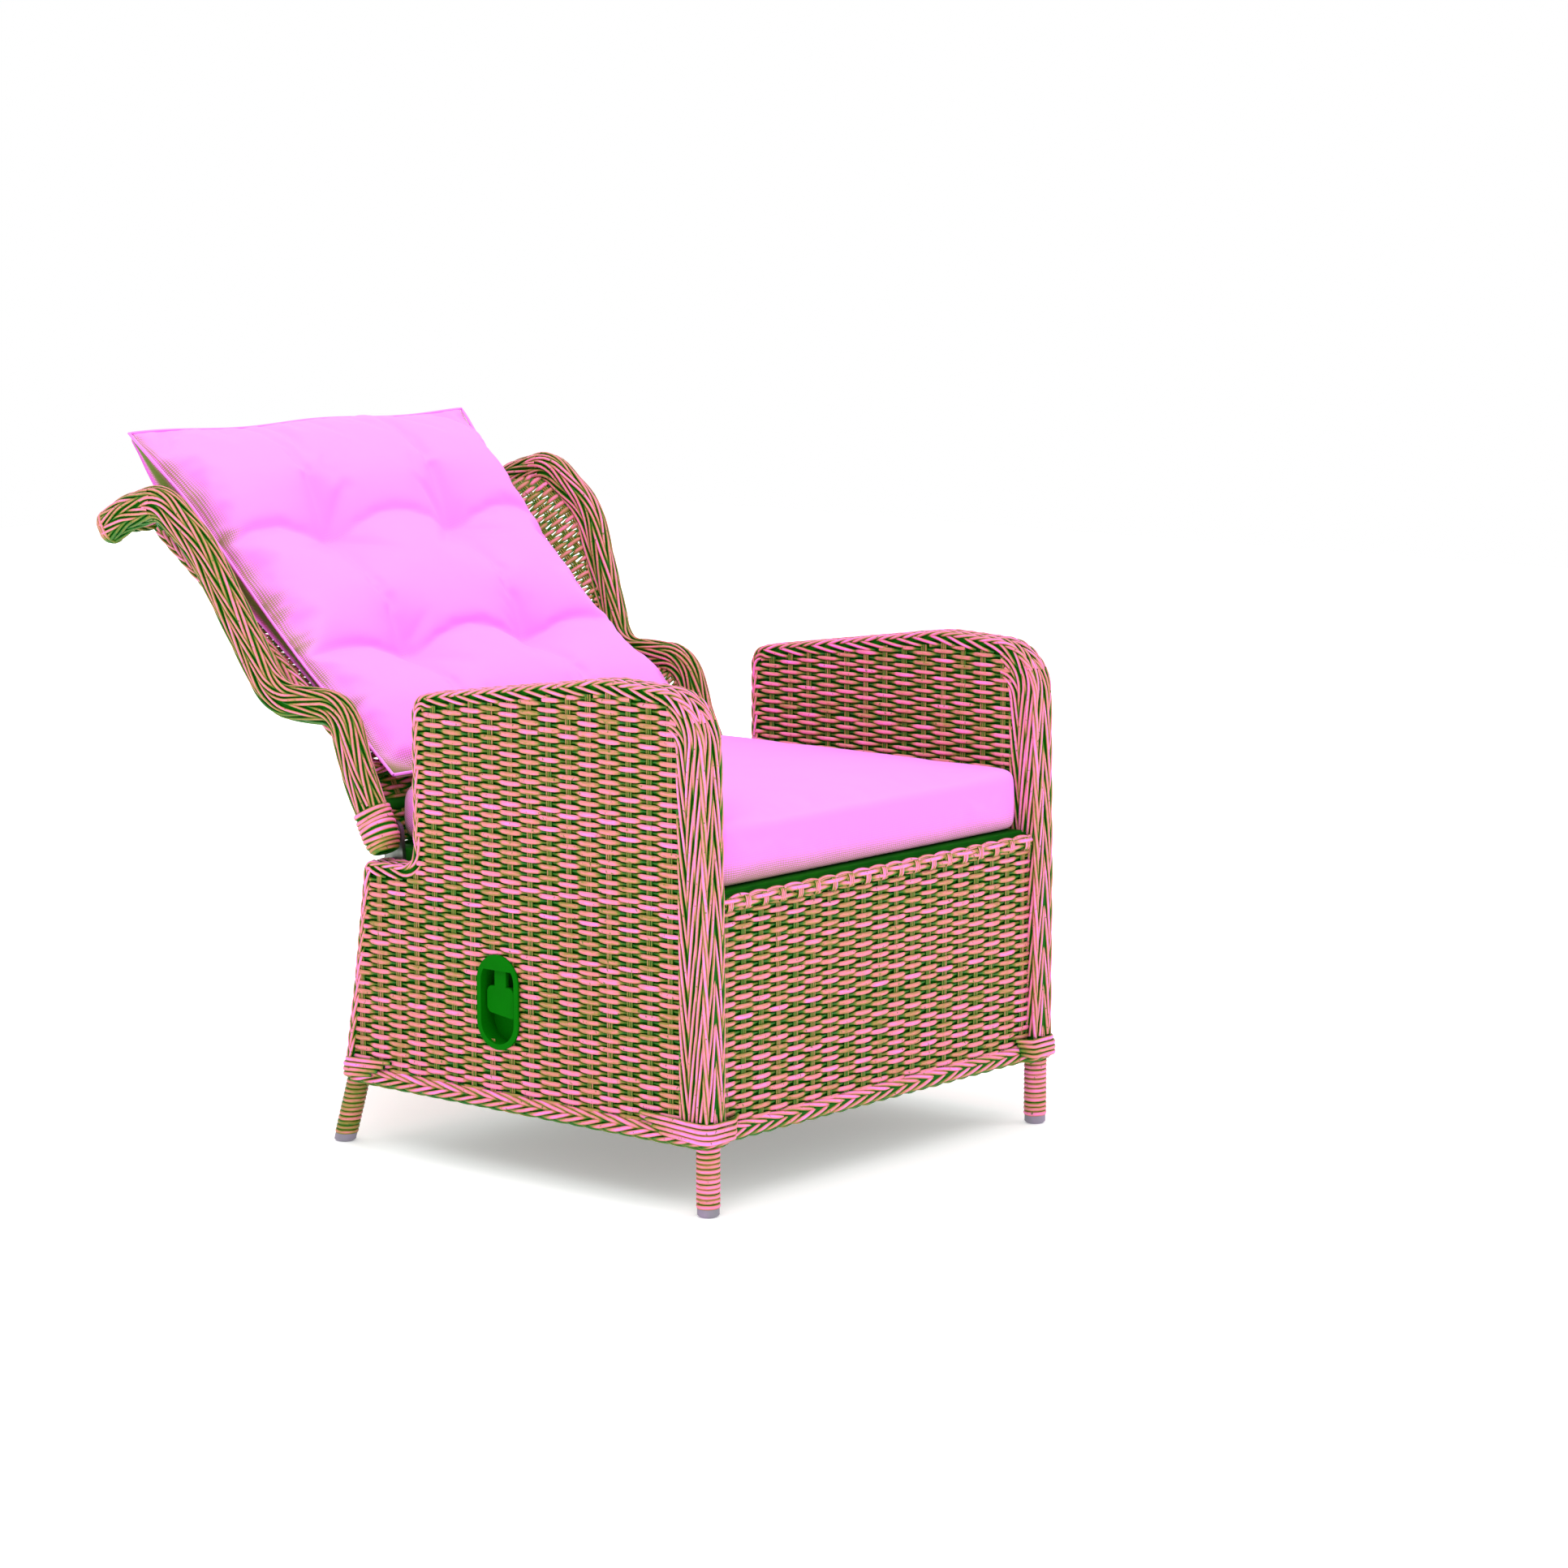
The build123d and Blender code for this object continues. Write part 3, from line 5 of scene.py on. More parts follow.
import bpy
import numpy as np
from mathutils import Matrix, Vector


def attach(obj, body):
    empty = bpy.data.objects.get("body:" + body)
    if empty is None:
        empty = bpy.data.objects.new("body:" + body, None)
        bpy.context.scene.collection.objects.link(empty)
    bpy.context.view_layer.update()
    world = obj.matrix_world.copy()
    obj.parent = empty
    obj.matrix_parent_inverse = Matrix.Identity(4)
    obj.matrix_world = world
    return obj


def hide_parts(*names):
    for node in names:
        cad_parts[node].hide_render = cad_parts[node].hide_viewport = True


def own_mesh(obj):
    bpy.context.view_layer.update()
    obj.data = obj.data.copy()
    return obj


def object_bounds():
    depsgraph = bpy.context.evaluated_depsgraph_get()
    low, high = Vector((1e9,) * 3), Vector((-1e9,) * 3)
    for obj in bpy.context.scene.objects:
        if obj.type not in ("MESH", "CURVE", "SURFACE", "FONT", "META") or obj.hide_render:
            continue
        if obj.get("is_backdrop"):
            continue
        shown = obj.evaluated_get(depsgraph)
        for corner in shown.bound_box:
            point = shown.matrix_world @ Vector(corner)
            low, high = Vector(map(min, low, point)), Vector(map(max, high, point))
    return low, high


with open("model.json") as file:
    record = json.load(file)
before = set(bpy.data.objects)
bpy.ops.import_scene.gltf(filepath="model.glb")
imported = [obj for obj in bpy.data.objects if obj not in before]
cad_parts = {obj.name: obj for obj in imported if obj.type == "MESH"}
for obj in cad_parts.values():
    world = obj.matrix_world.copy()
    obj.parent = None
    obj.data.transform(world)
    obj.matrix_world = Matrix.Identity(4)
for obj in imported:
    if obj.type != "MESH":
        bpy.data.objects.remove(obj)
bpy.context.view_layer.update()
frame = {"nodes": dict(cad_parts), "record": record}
scene = bpy.context.scene
rng = np.random.default_rng(7)

# Sizes shared with the frame, in millimetres
MM = 0.001
X, Y, Z = np.eye(3)
CENTRE = 511.06  # depth of the frame's origin behind the front feet
HALF = 350  # half the width over the arm panels
THICK = 41  # an arm panel
INNER = HALF - THICK
LEG_X = HALF - THICK / 2
SIDES = (("right", -1), ("left", 1))
BACK_ANGLE = math.radians(41)
HINGE = (552, 412)  # depth and height

# Sizes of the cane
PITCH = 33  # from stake to stake
ROW = 6.15  # from row to row
WEAVE_LOW = 108  # the base's first row
INSET = 2.6  # a rope strand's centre below its rope's skin
DIVE = 4.2  # how far a rope strand's ends go in
CORE = -2.4  # a rope's dark core, from the same zero


def row(x, depth, height):
    """A point from offset, depth from the front feet's line and height, in metres in the row's frame."""
    x, depth, height = np.broadcast_arrays(x, depth, height)
    return np.stack([x, depth - CENTRE, height], axis=-1) * MM


def back_row(x, along, out):
    """A point of the back, from its distance up from the hinge and out to the front."""
    along, out = np.asarray(along, float), np.asarray(out, float)
    depth = HINGE[0] + along * math.cos(BACK_ANGLE) - out * math.sin(BACK_ANGLE)
    height = HINGE[1] + along * math.sin(BACK_ANGLE) + out * math.cos(BACK_ANGLE)
    return row(x, depth, height)


def unit(v):
    return v / np.maximum(np.linalg.norm(v, axis=-1, keepdims=True), 1e-12)


def lengths_of(points):
    """How far each point lies along its line."""
    return np.concatenate([[0], np.cumsum(np.linalg.norm(np.diff(points, axis=0), axis=1))])


def read_at(places, known, table):
    """Rows of a table between the places where they are known."""
    return np.stack([np.interp(places, known, column) for column in np.transpose(table)], -1)


def round_path(points, radii, step=3):
    """A line through points with rounded corners, in even steps and any number of dimensions."""
    points = [np.asarray(p, float) for p in points]
    out = [points[0]]
    for before, here, after, radius in zip(points, points[1:], points[2:], radii):
        a, b = unit(before - here), unit(after - here)
        turn = pi - math.acos(float(np.clip(a @ b, -1, 1)))
        if turn < 1e-4:
            out.append(here)
            continue
        reach = radius * math.tan(turn / 2)
        centre = here + unit(a + b) * (radius / math.cos(turn / 2))
        start, end = here + a * reach - centre, here + b * reach - centre
        for t in np.linspace(0, 1, max(3, int(radius * turn / step) + 1)):
            mixed = math.sin((1 - t) * turn) * start + math.sin(t * turn) * end
            out.append(centre + mixed / math.sin(turn))
    out.append(points[-1])
    known = lengths_of(out)
    return read_at(np.linspace(0, known[-1], max(2, int(round(known[-1] / step)) + 1)), known, out)


def smooth(x, low, high):
    t = np.clip((np.asarray(x, float) - low) / (high - low), 0, 1)
    return t * t * (3 - 2 * t)


def bump_at(off, width):
    """A bell of height 1 round 0."""
    return np.exp(-((off / width) ** 2))


def over_edge(c, flat_half, radius):
    """Round a bar's edge, with c from its middle: place across, depth, and the normal's parts across and out."""
    side, size = np.sign(c), np.abs(c)
    turn = np.clip((size - flat_half) / radius, 0, pi / 2)
    across = side * np.where(size < flat_half, size, flat_half + radius * np.sin(turn))
    deep = radius * (1 - np.cos(turn)) + np.maximum(size - flat_half - radius * pi / 2, 0)
    return across, deep, side * np.sin(turn), np.cos(turn)


def assign(thing, **values):
    for key, value in values.items():
        setattr(thing, key, value)
    return thing


def add_object(name, data, **values):
    thing = bpy.data.objects.new(name, data)
    scene.collection.objects.link(thing)
    return assign(thing, **values)


def aimed(name, data, spot, way):
    """A camera or a lamp at a spot, looking a way."""
    turn = way.to_track_quat("-Z", "Y")
    return add_object(name, data, location=spot, rotation_mode="QUATERNION", rotation_quaternion=turn)


# Camera at the photograph's angle
azimuth, elevation = math.radians(-49.9625), math.radians(8.6907)
level = math.cos(elevation)
camera_back = Vector((math.sin(azimuth) * level, -math.cos(azimuth) * level, math.sin(elevation)))
camera = assign(bpy.data.cameras.new("camera"), lens=102.05, sensor_width=36, clip_start=0.1, clip_end=60)
scene.camera = aimed("camera", camera, (-4.28831, -3.95709, 1.33217), -camera_back)


# Materials
def srgb(*screen):
    """A linear colour from the screen's numbers, 0 to 255."""
    shares = [value / 255 for value in screen]
    return (*(v / 12.92 if v <= 0.04045 else ((v + 0.055) / 1.055) ** 2.4 for v in shares), 1)


class Nodes:
    """Nodes round one shader, of a material or the world. An input is a number or another node's output."""

    def __init__(self, name, kind="Material", shader="BsdfPrincipled"):
        self.owner = getattr(bpy.data, kind.lower() + "s").new(name)
        self.owner.use_nodes = True
        self.tree = self.owner.node_tree
        self.tree.nodes.clear()
        self.shader = self.tree.nodes.new("ShaderNode" + shader)
        output = self.tree.nodes.new("ShaderNodeOutput" + kind)
        self.tree.links.new(self.shader.outputs[0], output.inputs["Surface"])

    def put(self, node, inputs):
        for key, value in inputs.items():
            if hasattr(value, "links"):
                self.tree.links.new(value, node.inputs[key])
            else:
                node.inputs[key].default_value = value

    def new(self, kind, inputs, output, **settings):
        node = assign(self.tree.nodes.new("ShaderNode" + kind), **settings)
        self.put(node, inputs)
        return node.outputs[output]

    def coords(self, kind="Object", scale=(1, 1, 1)):
        return self.new("Mapping", {"Vector": self.new("TexCoord", {}, kind), "Scale": scale}, 0)

    def noise(self, scale, detail=3, rough=0.5, vector=None):
        vector = vector or self.coords()
        inputs = {"Vector": vector, "Scale": scale, "Detail": detail, "Roughness": rough}
        return self.new("TexNoise", inputs, "Fac")

    def attribute(self, name):
        return self.new("Attribute", {}, "Fac", attribute_name=name)

    def math(self, operation, *values, clamp=False):
        return self.new("Math", dict(enumerate(values)), 0, operation=operation, use_clamp=clamp)

    def remap(self, value, low, high, to_low=0, to_high=1):
        ends = {"From Min": low, "From Max": high, "To Min": to_low, "To Max": to_high}
        return self.new("MapRange", {"Value": value, **ends}, 0)

    def ramp(self, value, *stops):
        node = self.tree.nodes.new("ShaderNodeValToRGB")
        self.put(node, {"Fac": value})
        elements = node.color_ramp.elements
        elements[0].position, elements[0].color = stops[0]
        elements[1].position, elements[1].color = stops[-1]
        for share, colour in stops[1:-1]:
            elements.new(share).color = colour
        return node.outputs["Color"]

    def mix(self, factor, a, b):
        return self.new("Mix", {0: factor, 6: a, 7: b}, 2, data_type="RGBA")

    def bump(self, height, strength, distance, normal=None):
        inputs = {"Height": height, "Strength": strength, "Distance": distance}
        if normal is not None:
            inputs["Normal"] = normal
        return self.new("Bump", inputs, "Normal")

    def made(self, inputs):
        """The material or world, once its shader has its inputs."""
        self.put(self.shader, inputs)
        return self.owner


def wicker_material():
    """Round cane with painted light: pink painted highlights on the crests, salmon flanks, olive painted shade and
    deep green painted shadow in the gaps, with lengthwise grain.
    """
    n = Nodes("wicker")
    grain = n.noise(1, 4, 0.6, n.coords("UV", (60, 5, 1)))
    fine = n.noise(1, 2, 0.6, n.coords("UV", (420, 9, 1)))
    specks = n.noise(1, 1, 0.5, n.coords("UV", (190, 2.6, 1)))
    wave = n.math("MULTIPLY_ADD", grain, 0.62, -0.39)
    tinge = n.math("MULTIPLY_ADD", n.attribute("tone"), 0.24, -0.12)
    # Painted light and shade: the crest number runs from painted shadow in the gaps to painted highlight on top
    colour = n.ramp(
        n.math("ADD", n.math("ADD", n.attribute("crest"), wave), tinge, clamp=True),
        (0, srgb(0, 106, 0)), (0.18, srgb(30, 112, 0)), (0.36, srgb(112, 124, 18)), (0.50, srgb(176, 130, 76)),
        (0.64, srgb(226, 130, 130)), (0.82, srgb(254, 132, 186)), (1, srgb(255, 140, 240)),
    )
    return n.made({
        "Base Color": n.mix(n.remap(specks, 0.66, 0.76, 0, 0.85), colour, srgb(70, 108, 8)),
        "Roughness": n.remap(grain, 0.3, 0.7, 0.42, 0.62),
        "Specular IOR Level": 0.4,
        "Normal": n.bump(grain, 0.45, 0.0012, n.bump(fine, 0.5, 0.0006)),
    })


def shade_material():
    """Backing behind the weave: painted shade, nearly all deep green."""
    n = Nodes("weave_shade")
    noise = n.noise(320, 2)
    return n.made({
        "Base Color": n.ramp(noise, (0.3, srgb(0, 100, 0)), (0.75, srgb(22, 108, 4))),
        "Roughness": 0.9,
        "Specular IOR Level": 0.1,
        "Normal": n.bump(noise, 0.4, 0.001),
    })


def fabric_material():
    """Plain woven outdoor cloth with a dotted weave, and painted shade from the shade attribute that shows as
    olive dots.
    """
    n = Nodes("cushion_fabric")
    bands = {"Vector": n.coords("UV"), "Scale": 112, "Distortion": 0, "Detail": 1, "Detail Scale": 3}
    warp, weft = (
        n.new("TexWave", bands, "Fac", wave_type="BANDS", bands_direction=way, wave_profile="SIN")
        for way in "XY"
    )
    threads = n.math("MULTIPLY", warp, weft)
    cloud = n.noise(9, 3, 0.55)
    slub = n.noise(1, 2, 0.5, n.coords("UV", (30, 260, 1)))
    shade = n.attribute("shade")
    light = n.mix(n.remap(cloud, 0.35, 0.7, 0, 0.35), srgb(255, 153, 255), srgb(255, 146, 254))
    light = n.mix(n.remap(slub, 0.55, 0.75, 0, 0.18), light, srgb(255, 146, 252))
    light = n.mix(n.remap(threads, 0.1, 0.6, 0.08, 0), light, srgb(255, 140, 250))
    # Painted shade: what doesn't face up is painted a fuller pink
    facing = n.new("SeparateXYZ", {0: n.new("NewGeometry", {}, "Normal")}, "Z")
    light = n.mix(n.remap(facing, 0.1, 0.75), srgb(255, 134, 250), light)
    # Painted shade: the shade attribute turns the cloth olive, first in dots between the threads
    dots = n.math("SUBTRACT", n.math("MULTIPLY", shade, 1.3), n.math("MULTIPLY", threads, 0.8))
    olive = n.mix(n.remap(shade, 0.5, 1), srgb(176, 134, 120), srgb(96, 120, 20))
    return n.made({
        "Base Color": n.mix(n.remap(dots, 0, 0.3), light, olive),
        "Roughness": 0.86,
        "Specular IOR Level": 0.15,
        "Sheen Weight": 0.12,
        "Sheen Roughness": 0.6,
        "Normal": n.bump(cloud, 0.12, 0.004, n.bump(threads, 0.18, 0.0005)),
    })


def plastic_material(name, low, high, rough, scale=700, strength=0.15, specular=0.5):
    """Moulded or coated stuff: a slow cloud between two colours over a fine texture."""
    n = Nodes(name)
    noise = n.noise(scale, 3, 0.6)
    cloud = n.noise(24, 3, 0.5)
    return n.made({
        "Base Color": n.ramp(cloud, (0.3, srgb(*low)), (0.72, srgb(*high))),
        "Roughness": n.remap(cloud, 0.2, 0.8, rough - 0.06, rough + 0.08),
        "Specular IOR Level": specular,
        "Normal": n.bump(noise, strength, 0.0004),
    })


def metal_material(name, low, high, rough):
    n = Nodes(name)
    brushed = n.noise(1, 3, 0.6, n.coords("Object", (900, 60, 60)))
    cloud = n.noise(40, 3, 0.55)
    return n.made({
        "Base Color": n.ramp(cloud, (0.25, srgb(*low)), (0.8, srgb(*high))),
        "Metallic": 1,
        "Roughness": n.remap(brushed, 0.2, 0.8, rough - 0.1, rough + 0.12),
        "Normal": n.bump(brushed, 0.1, 0.0003),
    })


wicker = wicker_material()
shade = shade_material()
fabric = fabric_material()
dark_plastic = plastic_material("dark_plastic", (0, 84, 0), (14, 92, 8), 0.5)
SLOTS = {
    # The frame's own wicker parts, where still shown, get the painted shade too
    "wicker": shade,
    "frame_tube": plastic_material("frame_coat", (0, 88, 0), (14, 98, 4), 0.7, 420, 0.25, 0.15),
    "steel": metal_material("zinc_steel", (104, 112, 104), (150, 152, 148), 0.42),
    "spring_paint": dark_plastic,
    "cushion_fabric": fabric,
    "foot_plastic": plastic_material("foot_plastic", (118, 126, 124), (154, 134, 164), 0.55, 240, 0.3),
    "lever_plastic": plastic_material("lever_plastic", (0, 104, 0), (2, 110, 2), 0.7, specular=0.04),
    "bush_plastic": plastic_material("bush_plastic", (206, 206, 200), (226, 226, 220), 0.5),
    "cable_sheath": dark_plastic,
    "deck_webbing": plastic_material("deck_strap", (0, 84, 0), (16, 96, 4), 0.85, 900, 0.5, 0.1),
}
slot_of = {part["node"]: part["material_slot"] for part in frame["record"]["subparts"]}
for name, node in frame["nodes"].items():
    node.data.materials.clear()
    node.data.materials.append(SLOTS[slot_of[name]])


# Meshes
def quad_mesh(name, verts, faces):
    mesh = bpy.data.meshes.new(name)
    mesh.from_pydata(verts, [], faces, shade_flat=False)
    return mesh


def place(mesh, name, body, material, slot, *replaces):
    mesh.materials.append(material)
    piece = add_object(name, mesh)
    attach(piece, body)
    if replaces:
        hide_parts(*replaces)
    return piece


def dressed(name, body, verts, faces, uv, values, material, slot, *replaces):
    """A piece with UVs for each face's corners, in metres, and a named number for each point."""
    mesh = quad_mesh(name, verts, faces)
    mesh.uv_layers.new(name="UVMap").data.foreach_set("uv", uv.astype(np.float32).ravel())
    for key, value in values.items():
        mesh.attributes.new(key, "FLOAT", "POINT").data.foreach_set("value", value.astype(np.float32))
    return place(mesh, name, body, material, slot, *replaces)


def grid_quads(index):
    """Faces between neighbours in a grid of point numbers."""
    return np.stack([index[:-1, :-1], index[1:, :-1], index[1:, 1:], index[:-1, 1:]], -1).reshape(-1, 4)


def grid_parts(grids):
    """Points and faces of grids of points, each (rows, columns, 3) in metres."""
    verts, faces, count = [], [], 0
    for grid in grids:
        r, c = grid.shape[:2]
        faces.append(grid_quads(count + np.arange(r * c).reshape(r, c)))
        verts.append(grid.reshape(-1, 3))
        count += r * c
    return np.concatenate(verts), np.concatenate(faces)


def backing(name, body, *grids):
    """The dark sheet or core under a piece's strands, painted deep green to stand for the shade between them."""
    place(quad_mesh(name, *grid_parts(grids)), name, body, shade, "wicker")


class Cane:
    """Strands of one piece, kept as arrays until it is made. both paints light on the strands' rear too, from 0 to
    1; below 1 the rear is painted in shade.
    """

    def __init__(self, both=0):
        self.parts, self.count, self.both = [], 0, both

    def add(self, path, normals, width, height, lift, sides=6, edge=(-0.15, 1)):
        """One strand along a path of (m, 3), in metres. width and height are half sizes, and lift is how light its
        crest is painted, from 0 to 1, so that low values are painted shade: each is a number, or one for each
        point."""
        m = len(path)
        normals = np.broadcast_to(normals, path.shape)
        tangent = unit(np.gradient(path, axis=0))
        across = unit(np.cross(tangent, normals))
        up = unit(np.cross(across, tangent))
        # Painted shade: what looks down is painted darker
        lift = (lift * (0.45 + 0.55 * smooth(normals[:, 2], -0.75, -0.1)))[:, None]
        width, height = (np.broadcast_to(size, m)[:, None] for size in (width, height))
        angle = 2 * pi * (np.arange(sides) + 0.5) / sides
        cos, sin = np.cos(angle), np.sin(angle)
        ring = path[:, None] + across[:, None] * (width * cos)[..., None] + up[:, None] * (height * sin)[..., None]
        tone = rng.random()
        # crest is painted light: painted highlight along the strand's top, painted shade down its flanks and
        # underneath
        if self.both:
            facing = np.where(sin > 0, lift, (1.3 - lift) * self.both)
            crest = np.clip(facing, 0.12, 1) * smooth(np.abs(sin), -0.25, 0.95)
        else:
            crest = lift * smooth(sin, *edge)
        index = self.count + np.arange(m * sides).reshape(m, sides)
        a, b = index[:-1], index[1:]
        quads = np.stack([a, np.roll(a, -1, axis=1), np.roll(b, -1, axis=1), b], axis=-1)
        along = (lengths_of(path) + tone * 9.7)[:, None]
        v0 = np.arange(sides) / sides
        v1 = v0 + 1 / sides
        corners = ((along[:-1], v0), (along[:-1], v1), (along[1:], v1), (along[1:], v0))
        uv = np.stack([np.stack(np.broadcast_arrays(*corner), -1) for corner in corners], axis=-2)
        flat_parts = (v.reshape(-1, v.shape[-1]) for v in (ring, quads, uv))
        self.parts.append((*flat_parts, crest.ravel(), np.full(m * sides, tone)))
        self.count += m * sides

    def make(self, name, body, *replaces):
        verts, faces, uv, crest, tone = (np.concatenate(part) for part in zip(*self.parts))
        dressed(name, body, verts, faces, uv, {"crest": crest, "tone": tone}, wicker, "wicker", *replaces)


# Plain weave
def plane(origin, across, up, out, normal=None):
    """surface(s, t, h) of a flat field: points and normals at s across, t up and h out, in millimetres."""
    normal = out if normal is None else normal

    def surface(s, t, h):
        s, t, h = (np.asarray(v, float)[..., None] for v in np.broadcast_arrays(s, t, h))
        points = origin + (s * across + t * up + h * out) * MM
        return points, np.broadcast_to(normal, points.shape)

    return surface


def flat(surface, across, up, h):
    """A grid on a surface, h out. across and up are from, to and the number of points."""
    return surface(np.linspace(*across)[None, :], np.linspace(*up)[:, None], h)[0]


def full_rows(low, high, *spans):
    """Rows of a weave, all with the same spans."""
    return [(t, spans) for t in np.arange(low, high, ROW)]


def weave(cane, surface, rows, columns, steps=6, sides=6, row_pitch=ROW, pitch=PITCH, depth=2.3):
    """Rows of cane over and under stakes. rows are (t, [(s0, s1), ...]), and columns are the stakes' places."""
    for j, (t, spans) in enumerate(rows):
        for s0, s1 in spans:
            if s1 - s0 < pitch * 0.4:
                continue
            s = np.linspace(s0, s1, max(5, int(round((s1 - s0) / (pitch / steps))) + 1))
            wave = np.cos(pi * (s - columns[0]) / pitch + pi * (j % 2))
            crest = np.sign(wave) * np.abs(wave) ** 0.8
            jitter = rng.normal(0, 0.22) + 0.55 * np.sin(s / 71 + j * 1.9 + rng.random())
            half = row_pitch * (0.33 + 0.23 * smooth(wave, -0.45, 0.6)) * (1 + rng.normal(0, 0.04))
            # Painted shade: a row is painted darker where it dips under a stake
            lift = (0.3 + 0.5 * smooth(wave, -0.5, 0.3)) * (1 + rng.normal(0, 0.06))
            cane.add(*surface(s, t + jitter, depth * crest), half * MM, 0.0019, lift, sides, (-0.5, 0.8))
    for column in columns:
        inside = [t for t, spans in rows if any(a <= column <= b for a, b in spans)]
        # A stake stops where rows are missing
        for run in np.split(inside, np.flatnonzero(np.diff(inside) > row_pitch * 1.6) + 1):
            if len(run) == 0 or run[-1] - run[0] < row_pitch * 2:
                continue
            m = max(4, int((run[-1] - run[0]) / 14))
            t = np.linspace(run[0] - row_pitch, run[-1] + row_pitch, m)
            for side in (-1, 0, 1):
                s = column + side * 3.1 + 0.4 * np.sin(t / 37 + column + side)
                cane.add(*surface(s, t, 0.35 + 0.25 * (side == 0)), 0.0016, 0.0013, 0.56, 5)


def spans_in(outline, t, grow):
    """Where a level line lies inside a closed outline."""
    a, b = outline, np.roll(outline, -1, axis=0)
    cross = (a[:, 1] <= t) != (b[:, 1] <= t)
    a, b = a[cross], b[cross]
    s = np.sort(a[:, 0] + (t - a[:, 1]) / (b[:, 1] - a[:, 1]) * (b[:, 0] - a[:, 0]))
    return [(s[k] - grow, s[k + 1] + grow) for k in range(0, len(s) - 1, 2)]


# Herringbone ropes
def rope(cane, line, rows, strand=5.2, steps=12, fill=1, bright=1):
    """line(s, c, h) gives points and normals at distance s, place c round the section and height h. Each row is
    (start, end, c, width, lean, length): c and width are numbers or functions of s, lean is 1 or -1, and length
    is a strand's."""
    for k, (start, end, *sizes, lean, length) in enumerate(rows):
        centre, width = (v if callable(v) else (lambda s, v=v: v + 0 * s) for v in sizes)
        mean = np.mean(width(np.linspace(start, end, 5)))
        pitch = strand * 0.93 / math.sin(math.atan2(mean, length))
        u = np.linspace(0, 1, steps + 1)
        for s0 in np.arange(start - length + (0.37 * k % 1) * pitch, end, pitch):
            s = s0 + length * (1 + rng.normal(0, 0.03)) * u
            keep = (s >= start) & (s <= end)
            if keep.sum() < 4:
                continue
            s, share = s[keep], u[keep]
            lateral = lean * (0.55 * (share - 0.5) - 0.225 * np.cos(np.pi * share))
            bow = np.sin(np.pi * share) ** 0.55
            half = strand / 2 * fill * (0.72 + 0.28 * bow) * (1 + rng.normal(0, 0.04)) * MM
            # Painted shade: a strand is painted darker towards its ends, where it dives in, and bright below 1
            # paints the whole rope darker
            lift = bright * (0.18 + 0.82 * smooth(bow, 0.25, 0.85))
            points = line(s, centre(s) + width(s) * lateral * 1.12, -DIVE * (1 - bow))
            cane.add(*points, half, half * 0.88, lift)


def core_strip(line, s_places, c_places, height):
    """A strip under the strands: a grid along the line and round its section."""
    return np.stack([line(s_places, np.full_like(s_places, c), height)[0] for c in c_places], 1)


def core_tube(line, length, around, count, steps, height=CORE):
    return core_strip(line, np.linspace(0, length, steps), np.linspace(0, around, count + 1), height)


def wound_rows(start, end, around, count, length):
    wide = around / count
    return [(start, end, (k + 0.5) * wide, wide, 1 if k % 2 else -1, length) for k in range(count)]


def sweep_line(path, across, section):
    """line(s, c, h) along a path in metres, and its length. section(c, s) gives the place and the normal across
    and up, in millimetres."""
    known = lengths_of(path) * 1000
    tangent = unit(np.gradient(path, axis=0))
    across = unit(np.broadcast_to(across, path.shape) - tangent * np.sum(tangent * across, -1, keepdims=True))
    up = np.cross(tangent, across)

    def line(s, c, h):
        a, u, na, nu = (v[..., None] for v in section(c, s))
        lift = np.asarray(h - INSET)[..., None]
        ax, ay = unit(read_at(s, known, across)), unit(read_at(s, known, up))
        points = read_at(s, known, path) + (ax * (a + na * lift) + ay * (u + nu * lift)) * MM
        return points, unit(ax * na + ay * nu)

    return line, known[-1]


def slot_section(flat_half, radius, size=lambda s: 1):
    """A section with two flats and round ends, or a round one. c is 0 in the middle of one flat."""
    half = 2 * flat_half + pi * radius

    def section(c, s):
        c = np.mod(c + flat_half, 2 * half)
        flip = np.where(c >= half, -1, 1)
        c = np.where(c >= half, c - half, c)
        bend = np.clip((c - 2 * flat_half) / radius, 0, pi)
        u = np.where(c < 2 * flat_half, c - flat_half, flat_half + radius * np.sin(bend))
        na, nu = np.cos(bend) * flip, np.sin(bend) * flip
        return radius * na * size(s), u * flip * size(s), na, nu

    return section, 2 * half


# Arm panels: outlines as in the frame, from the front foot over the arm and the ledge to the rear foot
PANEL = [(-15, 110), (-15, 330), (-10, 640), (150, 647), (480, 600), (480, 380), (567, 380), (604, 110)]
PANEL_RADII = [300, 72, 250, 30, 20, 14]
FIELD = [(30, 110), (30, 330), (35, 620), (150, 627), (468, 580), (468, 360), (555, 360), (592, 110)]
FIELD_RADII = [300, 35, 250, 10, 20, 10]
edge = round_path(PANEL, PANEL_RADII, 2)
field = round_path(FIELD, FIELD_RADII, 3)
edge_s = lengths_of(edge)
edge_t = unit(np.gradient(edge, axis=0))
# The outline runs up the front, so its left is outward
edge_n = np.stack([-edge_t[:, 1], edge_t[:, 0]], 1)
for _ in range(3):
    edge_n[1:-1] = unit(edge_n[:-2] + 2 * edge_n[1:-1] + edge_n[2:])
EDGE_LENGTH = edge_s[-1]
FRONT_CORNER, ARM_START, ARM_END, REAR_TOP, NOTCH, LEDGE, REAR_LOW = (
    edge_s[np.argmin(np.linalg.norm(edge - spot, axis=1))]
    for spot in ((12, 625), (70, 643), (465, 602), (480, 575), (482, 395), (545, 380), (572, 350))
)
CORNER_ROUND = 7
BRAID_PLACES = [
    0, FRONT_CORNER - 40, ARM_START + 30, ARM_END - 10, REAR_TOP, NOTCH - 25, NOTCH + 5, LEDGE, REAR_LOW,
    EDGE_LENGTH,
]
BRAID_WIDTHS = [45, 45, 20, 20, 12, 12, 20, 20, 12, 12]


def braid_width(s):
    """Width of the last braid row on the panel's faces, with what it leaves free."""
    return np.clip(np.interp(s, BRAID_PLACES, BRAID_WIDTHS), 12, 20)


